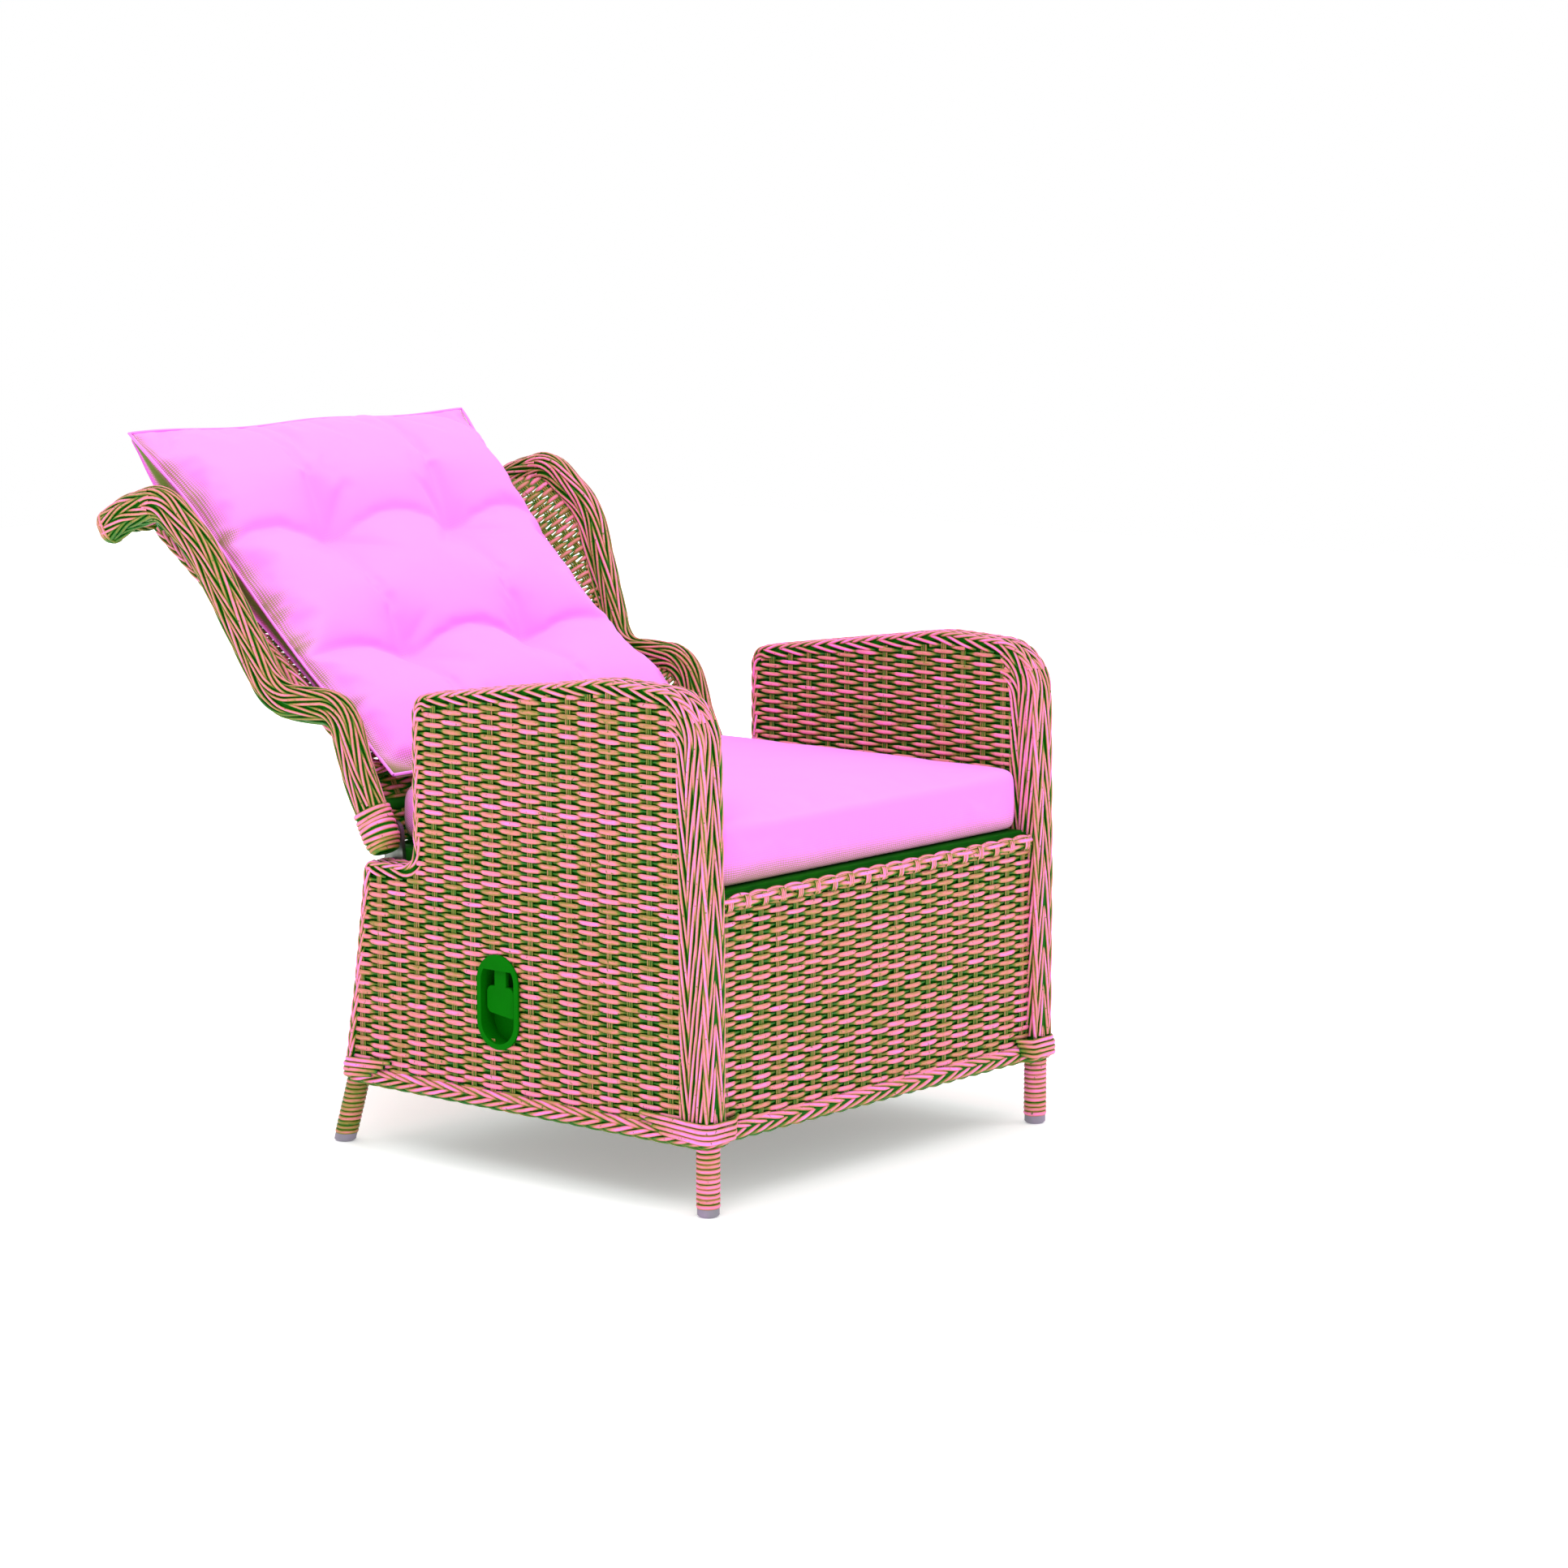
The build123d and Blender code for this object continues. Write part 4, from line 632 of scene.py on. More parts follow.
def edge_line(hand):
    """Section round the arm: place c is 0 in the middle of the edge and grows towards the outer face."""

    def line(s, c, h):
        s = np.clip(s, 0, EDGE_LENGTH)
        base, normal = read_at(s, edge_s, edge), unit(read_at(s, edge_s, edge_n))
        x, deep, nx, ne = over_edge(c, THICK / 2 - CORNER_ROUND, CORNER_ROUND)
        lift = h - INSET + 2 * smooth(s, EDGE_LENGTH - 120, EDGE_LENGTH - 20)
        spot = base + normal * (lift * ne - deep)[..., None]
        points = row(hand * (LEG_X + x + lift * nx), spot[..., 0], spot[..., 1])
        return points, np.stack([hand * nx, ne * normal[..., 0], ne * normal[..., 1]], -1)

    return line


def arm_rows():
    """Rope rows round the arm's section, from the outer margin over the edge to the inner margin."""
    up_front, over = (0, FRONT_CORNER, 135), (FRONT_CORNER - 26, EDGE_LENGTH, 54)
    rows = []
    for side in (1, -1):
        # The front post's faces, then the edge, with longer strands up the front
        rows.append((0, FRONT_CORNER + 26, side * 56.25, 14.5, side, 150))
        rows.append((0, FRONT_CORNER + 40, side * 42.5, 13, -side, 150))
        centre = lambda s, side=side: side * (24.8 + (braid_width(s) - 8) / 2)
        width = lambda s: np.maximum(braid_width(s) - 7.5, 6)
        for sizes in ((side * 6.5, 12.2, -side), (side * 18.7, 12.2, side), (centre, width, -side)):
            rows += [(start, end, *sizes, length) for start, end, length in (up_front, over)]
    return rows


BEZEL = (330, 224)  # depth and height of the lever's oval bezel


def bezel_cut(spans, t, half_width, half_height):
    """Spans of a row with the bezel's opening left out."""
    rise = abs(t - BEZEL[1])
    if rise >= half_height:
        return spans
    straight = half_height - half_width
    reach = half_width if rise <= straight else math.sqrt(half_width**2 - (rise - straight) ** 2)
    low, high = BEZEL[0] - reach, BEZEL[0] + reach
    parts = (part for a, b in spans for part in ((a, min(b, low)), (max(a, high), b)))
    return [(a, b) for a, b in parts if a < b]


for side, hand in SIDES:
    line = edge_line(hand)
    braid = Cane()
    rope(braid, line, arm_rows(), steps=13, fill=0.93)
    braid.make(f"{side}_arm_weave", "root", f"{side}_arm_braid")
    post = np.linspace(0, FRONT_CORNER + 30, 90)
    over = core_strip(line, np.linspace(0, EDGE_LENGTH, 220), np.linspace(-31, 31, 17), -INSET)
    posts = (core_strip(line, post, np.linspace(*ends, 6), -INSET) for ends in ((31, 60), (-60, -31)))
    backing(f"{side}_arm_backing", "root", over, *posts)

    for face, skin, outward in (("outer", HALF, 1), ("inner", INNER, -1)):
        has_lever = side == "right" and face == "outer"
        surface = plane(row(hand * (skin - outward * 5.2), 0, 0), Y, Z, hand * outward * X)
        rows = []
        for t in np.arange(WEAVE_LOW, 626, ROW):
            spans = spans_in(field, max(t, 110.5), 3)
            rows.append((t, bezel_cut(spans, t, 32, 57) if has_lever else spans))
        face_cane = Cane()
        detail = 6 if face == "outer" else 5
        weave(face_cane, surface, rows, np.arange(46, 590, PITCH), detail, detail)
        face_cane.make(f"{side}_{face}_cane", "root", f"{side}_{face}_weave")

        # Backing sheet in two parts that follow the field's outline
        plate = hand * (skin - outward * 8.6)
        grids = []
        for low, high in ((WEAVE_LOW, 358), (358, 626)):
            ends = np.array([
                (spans[0][0], spans[-1][1], t)
                for t in np.linspace(low, high, 60)
                if (spans := spans_in(field, np.clip(t, 110.5, 624.5), 6))
            ])
            share = np.linspace(0, 1, 7)
            grids.append(row(plate, ends[:, :1] * (1 - share) + ends[:, 1:2] * share, ends[:, 2:]))
        if has_lever:
            grids[:1] = [
                row(plate, np.linspace(a, b, 5)[None, :], np.array([[t - 1.3], [t + 1.3]]))
                for t in np.linspace(WEAVE_LOW, 358, 101)
                for a, b in bezel_cut(spans_in(field, max(t, 110.5), 6), t, 32.5, 57.5)
            ]
        backing(f"{side}_{face}_sheet", "root", *grids)

# Front apron under its scalloped rail
BASE_COLUMNS = np.arange(-297, 300, PITCH)
apron_surface = plane(row(0, 0.4, 0), X, Z, -Y)
apron = Cane()
weave(apron, apron_surface, full_rows(WEAVE_LOW, 374, (-311, 311)), BASE_COLUMNS)
apron.make("front_apron_cane", "root", "front_apron")
backing("front_apron_sheet", "root", flat(apron_surface, (-312, 312, 9), (106, 378, 5), -3.2))

# Painted shade: these canes are painted darker where they pass behind a stake and towards their ends
apron_rail = Cane()
x = np.linspace(-308, 308, 150)
for height, depth, thick, turn in ((376.5, -5.2, 0.0034, 0), (383, -5.6, 0.0032, pi)):
    wave = np.cos(pi * (x + 297) / PITCH + turn)
    points = row(x, depth + 1.2 * wave, height + 0.7 * np.sin(x / 23 + turn))
    apron_rail.add(points, (0, -1, 0.25), thick, 0.0026, 0.55 + 0.45 * smooth(-wave, -0.8, 0.4), 7)
for k, column in enumerate(BASE_COLUMNS):
    # Three stake ends turn up over the rail, and two canes arch from stake to stake
    for offset in (-3.2, 0, 3.2):
        u = np.linspace(0, 1, 9)
        bow = np.sin(pi * u) ** 0.5
        points = row(column + offset + 0.5 * np.sin(3 * u), -5.4 - 2.9 * bow, 370.5 + 16 * u + 0.6 * (k % 2))
        apron_rail.add(points, (0, -1, 0.1), 0.0017, 0.0015, 0.5 + 0.5 * bow)
    for offset in (0, 4.6):
        u = np.linspace(0, 1, 15)
        points = row(
            np.clip(column + offset + 2.05 * PITCH * (u - 0.12), -309, 309),
            -6.4 + 5.6 * u + 1.5 * np.sin(2 * pi * u),
            379 + (11.2 - offset * 0.35) * np.sin(pi * np.clip(u * 1.02, 0, 1)) ** 0.8 - 3 * u,
        )
        apron_rail.add(points, (0, -0.8, 0.6), 0.0023, 0.0021, 0.35 + 0.65 * np.sin(pi * u) ** 0.4)
apron_rail.make("front_apron_rail", "root", "apron_top_rail")
x = np.linspace(-309, 309, 7)[None, :]
hood = row(x, np.array([[-2.6], [3.4], [3.6]]), np.array([[386], [388.5], [372]]))
face = row(x, np.array([[-2.8], [-2.6]]), np.array([[372], [386]]))
backing("front_apron_rail_core", "root", hood, face)

# Rear skirt. Its two sides go on above its rail, on both sides of the gas spring
SKIRT_SLOPE = 37 / 270
skirt_foot = row(0, 595.6 + 110 * SKIRT_SLOPE, 0)
skirt_surface = plane(skirt_foot, X, Z - SKIRT_SLOPE * Y, Y, unit(Y + SKIRT_SLOPE * Z))
rise_surface = plane(row(0, 565, 0), X, Z, Y)
skirt = Cane()
weave(skirt, skirt_surface, full_rows(WEAVE_LOW, 309, (-311, 311)), BASE_COLUMNS, 5)
weave(skirt, rise_surface, full_rows(324, 393, (-298, -64), (64, 298)), BASE_COLUMNS, 5)
skirt.make("rear_skirt_cane", "root", "rear_skirt")
backing("rear_skirt_sheet", "root", flat(skirt_surface, (-312, 312, 9), (106, 314, 4), -3.4))
rises = (flat(rise_surface, (way * 66, way * 296, 5), (318, 391, 3), -3.5) for way in (-1, 1))
# Painted shade: dark sheets behind the rising skirt
backing("seat_rear_sheets", "root", *rises)

# Rim round the base
RIM_PLAN = [
    (0, 607), (353, 607), (353, -18), (306, -18), (297, -7), (-297, -7), (-306, -18), (-353, -18), (-353, 607),
    (0, 607),
]
RIM_RADII = [15, 15, 6, 6, 6, 6, 15, 15]
RIM_HEIGHT = 97


def rim_section(c, s):
    up, deep, n_up, n_out = over_edge(c, 4, 9)
    return -deep, up, n_out, n_up


rim_plan = round_path(RIM_PLAN, RIM_RADII, 4)
rim_path = row(rim_plan[:, 0], rim_plan[:, 1], RIM_HEIGHT)
open_rim_line, rim_length = sweep_line(rim_path, np.cross(Z, unit(np.gradient(rim_path, axis=0))), rim_section)


def rim_line(s, c, h):
    return open_rim_line(np.mod(s, rim_length), c, h)


rim = Cane()
rim_rows = [(10, 15, 1, 82), (-4.5, 13, -1, 62), (-17, 12, 1, 60), (19.5, 6, -1, 44)]
rope(rim, rim_line, [(0, rim_length + 60, *sizes) for sizes in rim_rows], strand=5.8)
for hand in (-1, 1):
    for k in range(4):
        # Four wraps round each corner, the top one tucked in
        level = 116.5 - 6.6 * k
        tuck = 0 if k else 1.6
        out = 0.3 * min(k, 2) - tuck
        for way, start, face, near, last in (
            (-1, 92 - 11 * k, -18.2 - out, 300, (280 + 4 * k, -5.5)),
            (1, 520 + 11 * k, 607.2 + out, 282 + 4 * k, (262 + 4 * k, 604)),
        ):
            corner = [
                (352.6 - tuck, start, level + 3), (353 + out, face, level - 1.5),
                (near, face, level - 1.5), (*last, level + 1.5),
            ]
            wrap = round_path(corner, [14, 10], 4)
            u = np.linspace(0, 1, len(wrap))
            bow = np.sin(pi * u) ** 0.4
            turned = [smooth(u, 0.75, 0.45) * hand, way * smooth(u, 0.35, 0.6), 0 * u]
            outward = unit(np.stack(turned, -1) + [0, 0, 0.05])
            points = row(hand * wrap[:, 0], wrap[:, 1], wrap[:, 2]) + outward * (1.6 * bow - 1.2)[:, None] * MM
            # Painted shade: each wrap is painted darker towards its ends
            rim.add(points, outward, 0.0024 + 0.0009 * bow, 0.0027, 0.3 + 0.66 * bow, 8)
rim.make("base_rim_rope", "root", "left_rim", "right_rim", "end_rims")
rim_core = core_strip(rim_line, np.linspace(0, rim_length, 260), np.linspace(-30, 30, 15), CORE)
backing("base_rim_core", "root", rim_core)

section, around = slot_section(1.5, 7)
skirt_line, skirt_length = sweep_line(row(np.linspace(-308, 308, 60), 567, 316.5), Y, section)
skirt_rail = Cane()
rope(skirt_rail, skirt_line, wound_rows(0, skirt_length, around, 4, 52), steps=10)
skirt_rail.make("rear_skirt_rope", "root", "rear_skirt_rail")
backing("rear_skirt_rope_core", "root", core_tube(skirt_line, skirt_length, around, 12, 20, -2.2))


# Wound legs, straight in front and leaning back behind
def leg_ring(hand, foot, run, radius, turn, rise):
    return row(hand * LEG_X + radius * np.cos(turn), foot - run * rise + radius * np.sin(turn), rise)


legs, leg_cores = Cane(), []
for hand in (-1, 1):
    # Painted shade: the rear legs' windings are painted darker than the front ones
    for foot, run, lift in ((0, 0, 0.92), (627, 35 / 108, 0.66)):
        turn = np.linspace(0, 2 * pi, 21)
        outward = np.stack([np.cos(turn), np.sin(turn), 0 * turn], -1)
        for z in np.arange(14, 88, 6.3):
            rise = z + rng.normal(0, 0.25) + 0.5 * np.sin(turn + z)
            legs.add(leg_ring(hand, foot, run, 13.6, turn, rise), outward, 0.0031, 0.0016, lift)
        turn = np.linspace(0, 2 * pi, 25)[None, :]
        leg_cores.append(leg_ring(hand, foot, run, 13.4, turn, np.array([[11.2], [50], [88]])))
legs.make("leg_windings", "root", "leg_wraps")
backing("leg_cores", "root", *leg_cores)

# Back rails, as (along, out) from the hinge, and how far apart they run
RAIL_ANGLE = math.atan2(30, 75)
STATIONS = [
    (28 * math.cos(RAIL_ANGLE), 28 * math.sin(RAIL_ANGLE)),
    (75, 30), (150, 74), (243, -5), (440, 80), (535, 76), (574, 16), (592, -38),
]
STATION_RADII = [150, 38, 55, 120, 45, 80]


def rail_place(along):
    return np.interp(along, (243, 440), (332, 370))


route = round_path([(a, o, rail_place(a)) for a, o in STATIONS], STATION_RADII, 4)

# The woven panel between them, and its foot, from its lower border down behind the cushion to the hinges
PANEL_FOOT = (72, 26)
TOP_TUBE = (574 + 18 * 0.55, 16 - 54 * 0.55)
PANEL_SLOPE = (TOP_TUBE[1] - PANEL_FOOT[1]) / (TOP_TUBE[0] - PANEL_FOOT[0])
LEAN = BACK_ANGLE + math.atan(PANEL_SLOPE)
panel_normal = np.array([0, -math.sin(LEAN), math.cos(LEAN)])
panel_up = np.array([0, math.cos(LEAN), math.sin(LEAN)])
panel_surface = plane(back_row(0, *PANEL_FOOT), X, panel_up, panel_normal)
foot_top, foot_end = back_row(0, 88, 20), back_row(0, -6, -15)
foot_way = unit(foot_end - foot_top)
foot_surface = plane(foot_top, X, foot_way, unit(np.cross(foot_way, X)))
foot_length = np.linalg.norm(foot_end - foot_top) * 1000


def panel_row(s, t, h):
    return panel_surface(s, t, h)[0]


def panel_edge(x, along):
    """A point of the panel's plane at a distance up from the hinge."""
    return back_row(x, along, PANEL_FOOT[1] + (np.asarray(along) - PANEL_FOOT[0]) * PANEL_SLOPE)


def rail_edge(hand, along):
    """A point of a rail's middle at a distance up from the hinge."""
    return back_row(hand * rail_place(along), along, np.interp(along, route[:, 0], route[:, 1]))


# Painted light on the panel's rear face, a little darker than its front
panel = Cane(both=0.9)
panel_columns = np.arange(-264, 270, PITCH)
weave(panel, panel_surface, full_rows(22, 502, (-290, 290)), panel_columns, 5)
weave(panel, foot_surface, full_rows(4, foot_length, (-300, 300)), panel_columns, 5)
panel.make("back_panel_cane", "back", "back_panel")
# Painted shade: a dark sheet behind the panel's foot
backing("back_foot_sheet", "back", flat(foot_surface, (-300, 300, 9), (0, foot_length, 3), 0))

borders, border_cores = Cane(), []
for start, end, radius, across in (
    (panel_row(-300, 26, 0), panel_row(-300, 498, 0), 12, X),
    (panel_row(300, 26, 0), panel_row(300, 498, 0), 12, X),
    (panel_edge(-314, 85), panel_edge(314, 85), 12, np.array([0, 0.8, 0.55])),
    (back_row(-352, *TOP_TUBE), back_row(352, *TOP_TUBE), 15, np.array([0, 0.8, 0.55])),
):
    section, around = slot_section(0, radius)
    bar_line, bar_length = sweep_line(np.linspace(start, end, 40), across, section)
    rope(borders, bar_line, wound_rows(0, bar_length, around, 6, 62), steps=10)
    border_cores.append(core_tube(bar_line, bar_length, around, 12, 24))
borders.make("panel_border_rope", "back", "panel_side_borders", "panel_lower_border", "panel_top_border")
backing("panel_border_core", "back", *border_cores)

# A collar round each hinge, on the rail's lower end
COLLAR_WRAPS = (30, 22.8, 15.6, 8.4, 1.2, -6, -12.6, -18.4, -23)
COLLAR_AXIS = unit(back_row(0, 75, 30) - back_row(0, 0, 0))
COLLAR_BROAD = np.cross(COLLAR_AXIS, X)
collar_section, collar_around = slot_section(7, 20)


def collar_size(along, radius):
    """How wide the collar's round foot is at a place, as a share of its radius of 27 mm."""
    return math.sqrt(max(radius**2 - min(along, 0) ** 2, 1)) / 27


def collar_ring(hand, c, deep, size, along):
    a, u, na, nu = (v[:, None] for v in collar_section(c, 0))
    shift = a * deep * X + u * size * COLLAR_BROAD + np.reshape(along, (-1, 1)) * COLLAR_AXIS
    return back_row(hand * 332, 0, 0) + shift * MM, na * X + nu * COLLAR_BROAD


for side, hand in SIDES:
    path = back_row(hand * route[:, 2], route[:, 0], route[:, 1])
    tip = lengths_of(path)[-1] * 1000 - 17
    # The rail's end is round
    tip_size = lambda s: np.sqrt(1 - np.clip((s - tip) / 17, 0, 0.995) ** 2)
    section, around = slot_section(7, 18, tip_size)
    rail_line, rail_length = sweep_line(path, hand * X, section)
    rail = Cane()
    ear = rail_length - 118
    # bright 0.86 paints the rails a little darker all over, as painted shade
    rope(rail, rail_line, wound_rows(0, ear + 24, around, 10, 140), 5.9, 19, 0.78, 0.86)
    rope(rail, rail_line, wound_rows(ear, rail_length - 4, around, 10, 96), 5.6, 15, 0.78, 0.86)
    for from_tip in (17, 12.4, 8.2, 4.8, 2.2, 0.6):
        c = np.linspace(0, around, 37)
        ring = rail_line(np.full_like(c, rail_length - from_tip), c, -0.4)
        rail.add(*ring, 0.0026, 0.0022, 0.8)
    rail.make(f"{side}_rail_rope", "back", f"{side}_back_rail")
    backing(f"{side}_rail_core", "back", core_tube(rail_line, rail_length, around, 28, 170))

    collar = Cane()
    c = np.linspace(0, collar_around, 41)
    for k, along in enumerate(COLLAR_WRAPS):
        size = collar_size(along, 27)
        tilt = (2.4 if k % 2 else 0.9) * (1 if k < 6 else 0.3)
        along = along + tilt * np.sin(c / collar_around * 2 * pi + 0.8 + 1.1 * k)
        ring, outward = collar_ring(hand, c, 0.9 + 0.1 * size, size, along)
        outward = unit(outward - 0.9 * (1 - size) * COLLAR_AXIS)
        # Painted shade: the lower wraps are painted darker
        lift = 0.95 - 0.09 * max(k - 4, 0) + 0.06 * np.sin(c / 9 + k)
        collar.add(ring - outward * 0.0024, outward, 0.0033, 0.0025, lift, 8)
    collar.make(f"{side}_collar_rope", "back", f"{side}_collar")
    c = np.linspace(0, collar_around, 33)
    levels = np.linspace(32, -24.5, 14)
    shell = [collar_ring(hand, c, 0.86, collar_size(along, 24.6), along)[0] for along in levels]
    backing(f"{side}_collar_core", "back", np.stack(shell))

    # Wings from the panel to the rail, close below the waist and open above it
    def wing_surface(s, t, h):
        t = np.broadcast_to(t, np.shape(s)).astype(float)
        start = panel_edge(hand * 300, t)
        way = unit(rail_edge(hand, t) - start)
        back_up = np.array([0, math.cos(BACK_ANGLE), math.sin(BACK_ANGLE)])
        normal = unit(np.cross(way, back_up)) * hand
        s, h = s[..., None], np.broadcast_to(h, t.shape)[..., None]
        return start + (way * s + normal * h) * MM, normal

    # Painted shade: the wings' rear faces are painted much darker than their fronts
    wing = Cane(both=0.42)
    for low, high, row_pitch, fill in ((103, 188, 6.4, 1.04), (302, 558, 6.9, 1)):
        rows = []
        for t in np.arange(low, high, row_pitch):
            width = np.linalg.norm(panel_edge(300, t) - rail_edge(1, t)) * 1000
            if width > 34:
                rows.append((t, [(8, width - 12)]))
        weave(wing, wing_surface, rows, np.arange(20, 130, 21), 5, 6, row_pitch * fill, 21, 1.5)
    wing.make(f"{side}_wing_cane", "back", f"{side}_wing")


# Cushions, filled by a cloth simulation
FRAMES = 20


def box_shell(low, high, step, deep=4):
    """A closed box of even quads, with its points and faces. The third way has few rows."""
    counts = [*(max(2, int(round((high[k] - low[k]) / step))) for k in (0, 1)), deep]
    spans = [np.linspace(a, b, count + 1) for a, b, count in zip(low, high, counts)]
    verts, faces, total = [], [], 0
    for axis in range(3):
        a, c = (axis + 1) % 3, (axis + 2) % 3
        for end in (0, -1):
            grid = np.zeros((len(spans[a]), len(spans[c]), 3))
            grid[..., a], grid[..., c], grid[..., axis] = spans[a][:, None], spans[c], spans[axis][end]
            verts.append(grid.reshape(-1, 3))
            quads = grid_quads(total + np.arange(len(verts[-1])).reshape(grid.shape[:2]))
            faces.append(quads if end else quads[:, ::-1])
            total += len(verts[-1])
    verts, faces = np.concatenate(verts), np.concatenate(faces)
    _, first, inverse = np.unique(np.round(verts, 4), axis=0, return_index=True, return_inverse=True)
    return verts[first], inverse.reshape(-1)[faces]


def swell(name, base, faces, pins, reach, pressure, slack):
    """Base points moved by a cloth simulation with pressure, each by no more than its reach in metres."""
    cloth = add_object(name + "_cloth", quad_mesh(name + "_cloth", base, faces))
    group = cloth.vertex_groups.new(name="pins")
    for k in np.flatnonzero(pins > 0.01):
        group.add([int(k)], float(pins[k]), "REPLACE")
    modifier = cloth.modifiers.new("Cloth", "CLOTH")
    settings = assign(
        modifier.settings, quality=5, mass=0.3, vertex_group_mass="pins", shrink_min=-slack,
        tension_stiffness=12, compression_stiffness=12, shear_stiffness=4, bending_stiffness=0.8,
        use_pressure=True, uniform_pressure_force=pressure,
    )
    settings.effector_weights.gravity = 0
    modifier.collision_settings.use_collision = False
    assign(modifier.point_cache, frame_start=1, frame_end=FRAMES)
    for number in range(1, FRAMES + 1):
        scene.frame_set(number)
    shaped = cloth.evaluated_get(bpy.context.evaluated_depsgraph_get()).data
    moved = np.empty(len(base) * 3, np.float32)
    shaped.vertices.foreach_get("co", moved)
    scene.frame_set(1)
    bpy.data.meshes.remove(cloth.data)
    shift = moved.reshape(-1, 3) - base
    size = np.linalg.norm(shift, axis=1, keepdims=True)
    cap = np.asarray(reach, float).reshape(-1, 1)
    return base + shift / np.maximum(size, 1e-9) * cap * np.tanh(size / np.maximum(cap, 1e-6))


def cloth_piece(name, body, verts, faces, painted_shade, uv, *replaces):
    uv = uv[faces.ravel()]
    return dressed(name, body, verts, faces, uv, {"shade": painted_shade}, fabric, "cushion_fabric", *replaces)


def soften(piece):
    assign(piece.modifiers.new("Subdivision", "SUBSURF"), levels=1, render_levels=1)


def piping(name, body, path, radius):
    """A round welt along a path in metres."""
    tangent = unit(np.gradient(path, axis=0))
    side = unit(np.cross(tangent, [0.13, 0.31, 0.94]))[:, None]
    up = np.cross(side, tangent[:, None])
    turn = np.linspace(0, 2 * pi, 9)[:, None]
    grid = path[:, None] + radius * (np.cos(turn) * side + np.sin(turn) * up)
    along = np.repeat(np.linspace(0, len(path) * 0.008, len(path)), 9)
    uv = np.stack([along, np.tile(turn[:, 0] * radius, len(path))], -1)
    cloth_piece(name, body, *grid_parts([grid]), 0 * along, uv)


# Back cushion: rear face, side seam, crown and width at shares of the pad's length, as in the frame
PAD_LENGTH = 602
PAD_THICK = 113
PAD_HALF = 296
PAD_START = -24
SHARES = np.array([PAD_START / PAD_LENGTH, 0.045, 0.15, 0.295, 0.45, 0.63, 0.78, 0.92, 1])
BACK_SHARE = [0.14, 0.12, 0.045, 0.045, 0.045, 0.045, 0.07, 0.32, 0.57]
SEAM_SHARE = [0.2, 0.22, 0.21, 0.2, 0.27, 0.4, 0.53, 0.6, 0.66]
CROWN_SHARE = [0.27, 0.44, 0.58, 0.46, 0.64, 0.74, 1, 0.93, 0.75]
WIDE_SHARE = [1.03, 1.03, 1.015, 1, 1, 1.005, 1.015, 1.05, 1.08]
TUFT_X, TUFT_ROWS = 116, (178, 380)
TUFTS = [(x, t) for x in (-TUFT_X, TUFT_X) for t in TUFT_ROWS]
FOLDS = (96, 212, 226, 268, 290, 402)


def pad_value(table, t):
    """A smooth reading of a table of shares at a distance up the pad."""
    total = 0
    for shift in (-22, -11, 0, 11, 22):
        total = total + np.interp(np.clip(t + shift, PAD_START, PAD_LENGTH) / PAD_LENGTH, SHARES, table)
    return total / 5


def ripple(x, t):
    """The cushion's head edge waves a little."""
    return t + 3.6 * np.exp((t - PAD_LENGTH) / 50) * np.sin(x / 46 + 0.8)


shell, pad_faces = box_shell((-PAD_HALF, PAD_START, 0), (PAD_HALF, PAD_LENGTH, 1), 7.4)
x, t, layer = shell.T
on_front = layer > 0.999
back_height, seam_height, crown_height = (
    pad_value(table, t) * PAD_THICK for table in (BACK_SHARE, SEAM_SHARE, CROWN_SHARE)
)
end = np.minimum(t - PAD_START, PAD_LENGTH - t)
edge_x = np.clip(1 - np.abs(x / PAD_HALF) ** 3.2, 0, 1) ** 0.5
edge_t = np.clip(1 - (1 - np.clip(end / 120, 0, 1)) ** 2.4, 0, 1) ** 0.6
front = seam_height + (crown_height - 6 - seam_height) * edge_x * (0.25 + 0.75 * edge_t)
for tuft_x, tuft_t in TUFTS:
    far = np.hypot(x - tuft_x, t - tuft_t)
    front -= 8 * bump_at(far, 30) + 8 * bump_at(far, 75)
    front -= 4.5 * bump_at(x - tuft_x, 17) * bump_at(t - tuft_t, 150)
# A valley hangs in arches from tuft to tuft
arch = 0.5 - 0.5 * np.cos(2 * pi * (x - TUFT_X) / (2 * TUFT_X))
valley = np.zeros_like(x)
for tuft_t in TUFT_ROWS:
    off = t - (tuft_t + 17 * arch)
    front -= (4.6 * bump_at(off, 18) + 3 * bump_at(off, 7.5)) * edge_x
    valley = np.maximum(valley, bump_at(off, 5.5) * (1 - 0.6 * arch))
height = np.where(on_front, front, back_height + (seam_height - back_height) * layer)
wide = pad_value(WIDE_SHARE, t)
on_side = np.abs(x) > PAD_HALF - 0.5
rear_in = np.where(on_front, 0, 14 * (1 - layer) ** 1.5)
pad_x = x * wide * 0.992 - np.sign(x) * rear_in * on_side
base = panel_row(pad_x, ripple(x, t), height + 1)
tuft_pin = np.max([bump_at(np.hypot(x - tuft_x, t - tuft_t), 12) for tuft_x, tuft_t in TUFTS], axis=0)
pins = np.where(on_front & ~on_side & (end >= 0.5), tuft_pin, 1)
points = swell("back_cushion", base, pad_faces, pins, np.where(pins > 0.9, 0.0005, 0.022), 3.2, 0.045)
# Puckers along both side seams
crease = 0.5 + 0.5 * np.sin(t / 8.3 + 2.3 * np.sin(t / 31)) * np.sin(t / 21 + 1.1)
gaps = [np.clip(PAD_HALF + way * x, 0, None) for way in (1, -1)]
pucker = 2.6 * crease * sum(np.exp(-gap / 26) * (gap > 1) for gap in gaps) - 1.3 * np.exp(-gaps[0] / 26)
points = points + panel_normal * (np.where(on_front, pucker, 0) * MM)[:, None]
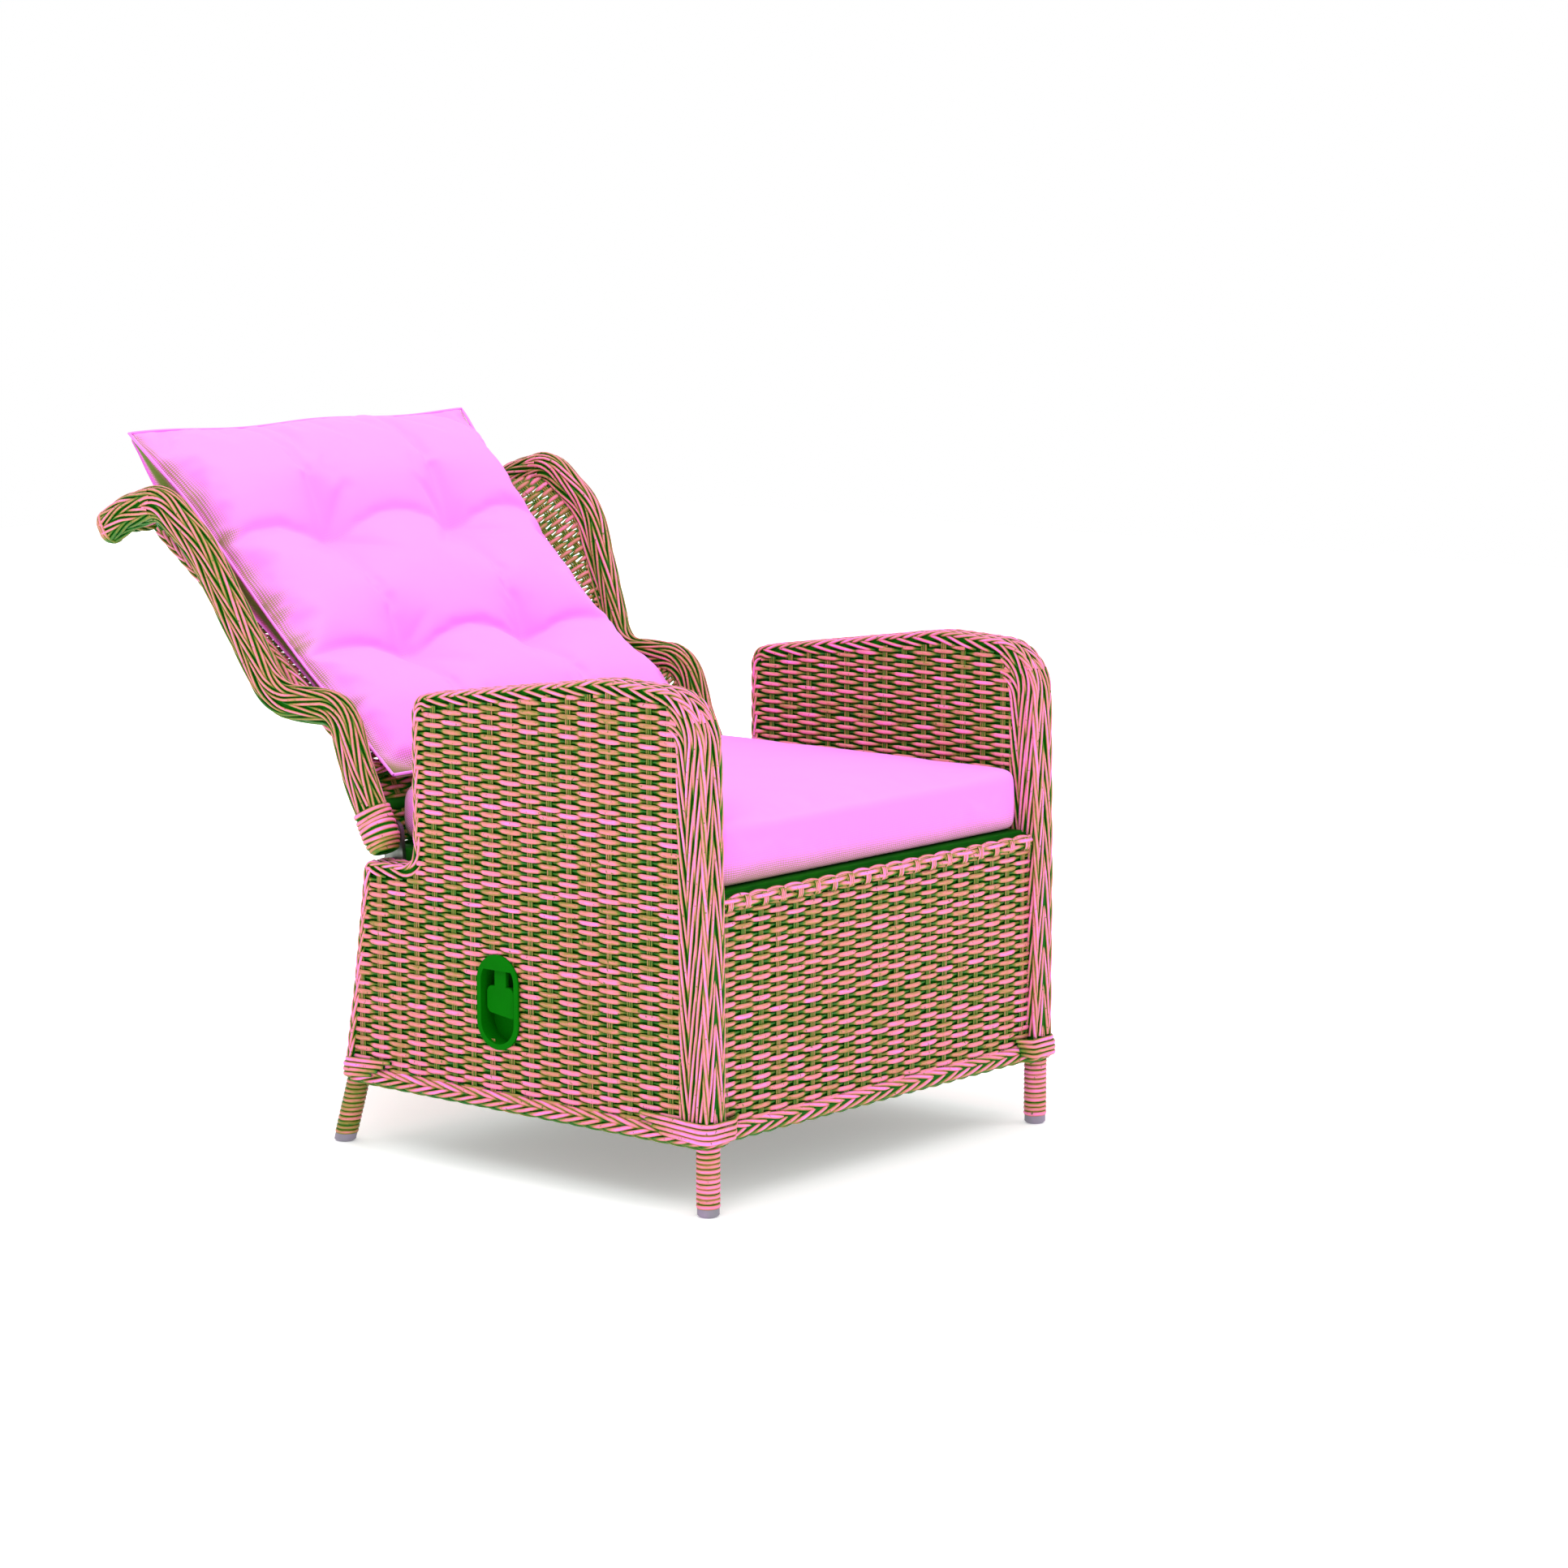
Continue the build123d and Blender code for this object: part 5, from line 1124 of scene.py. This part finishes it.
# Painted shade at the seams, the folds, the foot, the tufts and the valleys, and on the sides
fold = np.max([bump_at(t - place_t, 7) for place_t in FOLDS], axis=0)
painted_shade = (0.6 - 0.34 * crease) * np.exp(-gaps[0] / 12) + 0.34 * fold * np.exp(-gaps[0] / 26)
painted_shade = np.clip(painted_shade + 0.3 * np.exp(-gaps[1] / 8) + 0.8 * np.exp(-(t - PAD_START) / 16), 0, 0.9)
for tuft_x, tuft_t in TUFTS:
    painted_shade = np.maximum(painted_shade, 0.14 * bump_at(np.hypot(x - tuft_x, (t - tuft_t - 4) * 1.4), 11))
painted_shade = np.where(on_front, np.maximum(painted_shade, 0.13 * valley), smooth(layer, 0, 0.5))
uv = np.stack([x, t + layer * 30], -1) * MM
back_pad = cloth_piece("back_cushion_cover", "back", points, pad_faces, painted_shade, uv, "back_cushion")
soften(back_pad)

# A welt round the side seam
side_t, end_x = np.linspace(PAD_START, PAD_LENGTH, 90), np.linspace(-PAD_HALF, PAD_HALF, 80)
x = np.concatenate([np.full(90, -PAD_HALF), end_x[1:], np.full(89, PAD_HALF), end_x[-2::-1]])
t = np.concatenate([side_t, np.full(79, PAD_LENGTH), side_t[-2::-1], np.full(79, PAD_START)])
seam_height = pad_value(SEAM_SHARE, t) * PAD_THICK + 1.6
welt = panel_row(x * pad_value(WIDE_SHARE, t) * 0.995, ripple(x, t), seam_height)
piping("back_cushion_piping", "back", welt, 0.0021)

# Seat cushion: a soft block, with edges rounder at the rear than in front
SEAT_LOW = np.array([-296, 8, 395.6])
SEAT_HIGH = np.array([298, 561, 474])
shell, seat_faces = box_shell(SEAT_LOW, SEAT_HIGH, 8.2, 9)
rounding = 14 + 13 * smooth(shell[:, 1:2], 260, 420)
middle = (SEAT_LOW + SEAT_HIGH) / 2
half = (SEAT_HIGH - SEAT_LOW) / 2
offset = shell - middle
core = np.clip(offset, -(half - rounding), half - rounding)
shape = middle + core + unit(offset - core) * rounding
flat_x, flat_y, high = (offset / half).T
flat_share = np.clip(1 - np.abs(flat_x) ** 4, 0, 1) * np.clip(1 - np.abs(flat_y) ** 4, 0, 1)
crown = flat_share * np.clip(high, 0, 1)
shape[:, 2] += 4 * crown
pins = np.where(high < -0.97, 1, 0)
reach = np.where(pins > 0.9, 0, 0.0025 + 0.010 * crown)
points = swell("seat_cushion", row(*shape.T), seat_faces, pins, reach, 2.2, 0.02)
# Painted shade low on the cushion, stronger towards -x, and at its rear
low_shade = 0.7 * np.clip((452 - shape[:, 2]) / 56, 0, 1) ** 2.6
rightness = 0.62 + 0.38 * np.clip((60 - shape[:, 0]) / 300, 0, 1)
painted_shade = np.clip(low_shade * rightness + 0.6 * smooth(shape[:, 1], 520, 555), 0, 0.95)
uv = np.stack([shell[:, 0], shell[:, 1] + shell[:, 2]], -1) * MM
seat_pad = cloth_piece("seat_cushion_cover", "root", points, seat_faces, painted_shade, uv, "seat_cushion")
soften(seat_pad)
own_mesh(seat_pad)

# Release cable under the seat
cable_points = [
    (-323.2, 330, 254.5), (-278, 330, 256), (-240, 322, 285), (-218, 306, 327),
    (-186, 294, 356), (-136, 292, 359.5), (-86, 292.4, 358), (-46, 291.4, 349),
    (-13.3, 292.86, 345.85),
]
line = bpy.data.curves.new("release_cable_line", "CURVE")
assign(line, dimensions="3D", bevel_depth=0.0025, bevel_resolution=4, resolution_u=10, use_fill_caps=True)
spline = line.splines.new("NURBS")
spline.points.add(len(cable_points) - 1)
for target, spot in zip(spline.points, cable_points):
    target.co = (*row(*spot), 1)
assign(spline, order_u=3, use_endpoint_u=True)
cable = place(line, "release_cable_line", "root", dark_plastic, "cable_sheath", "release_cable")
tuple(float(v) for v in row(*cable_points[0]))

# Floor, which fades into the white backdrop
bpy.ops.mesh.primitive_grid_add(x_subdivisions=4, y_subdivisions=4, size=14, location=(0, 0, -0.0005))
floor = bpy.context.object
floor.name = "floor"
n = Nodes("floor")
away = n.new("VectorMath", {0: n.coords()}, "Value", operation="LENGTH")
floor.data.materials.append(n.made({
    "Base Color": n.ramp(n.noise(3, 2), (0.2, (0.95, 0.95, 0.95, 1)), (0.8, (0.97, 0.97, 0.97, 1))),
    "Roughness": 0.9,
    "Emission Color": (1, 1, 1, 1),
    "Emission Strength": n.remap(away, 0.6, 1.7, 0.3, 0.9),
}))
floor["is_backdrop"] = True

# Studio light, with a plain white backdrop for the camera
n = Nodes("studio", "World", "Background")
strength = n.remap(n.new("LightPath", {}, "Is Camera Ray"), 0, 1, 0.8, 1)
scene.world = n.made({"Color": (1, 1, 1, 1), "Strength": strength})
for name, spot, target_height, size, power in (
    ("key", (-2.6, -2.2, 3.6), 0.4, 2.2, 54),
    ("fill", (2.8, -3.2, 2.4), 0.5, 2.6, 27),
    ("top", (-0.6, 0.4, 4.2), 0.4, 2.6, 44),
    ("rear", (1.2, 3.6, 2.6), 0.5, 2.4, 24),
):
    lamp = assign(bpy.data.lights.new(name, "AREA"), shape="DISK", size=size, energy=power)
    aimed(name, lamp, spot, Vector((0, 0, target_height)) - Vector(spot))

scene.view_settings.view_transform = "Standard"

low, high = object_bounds()
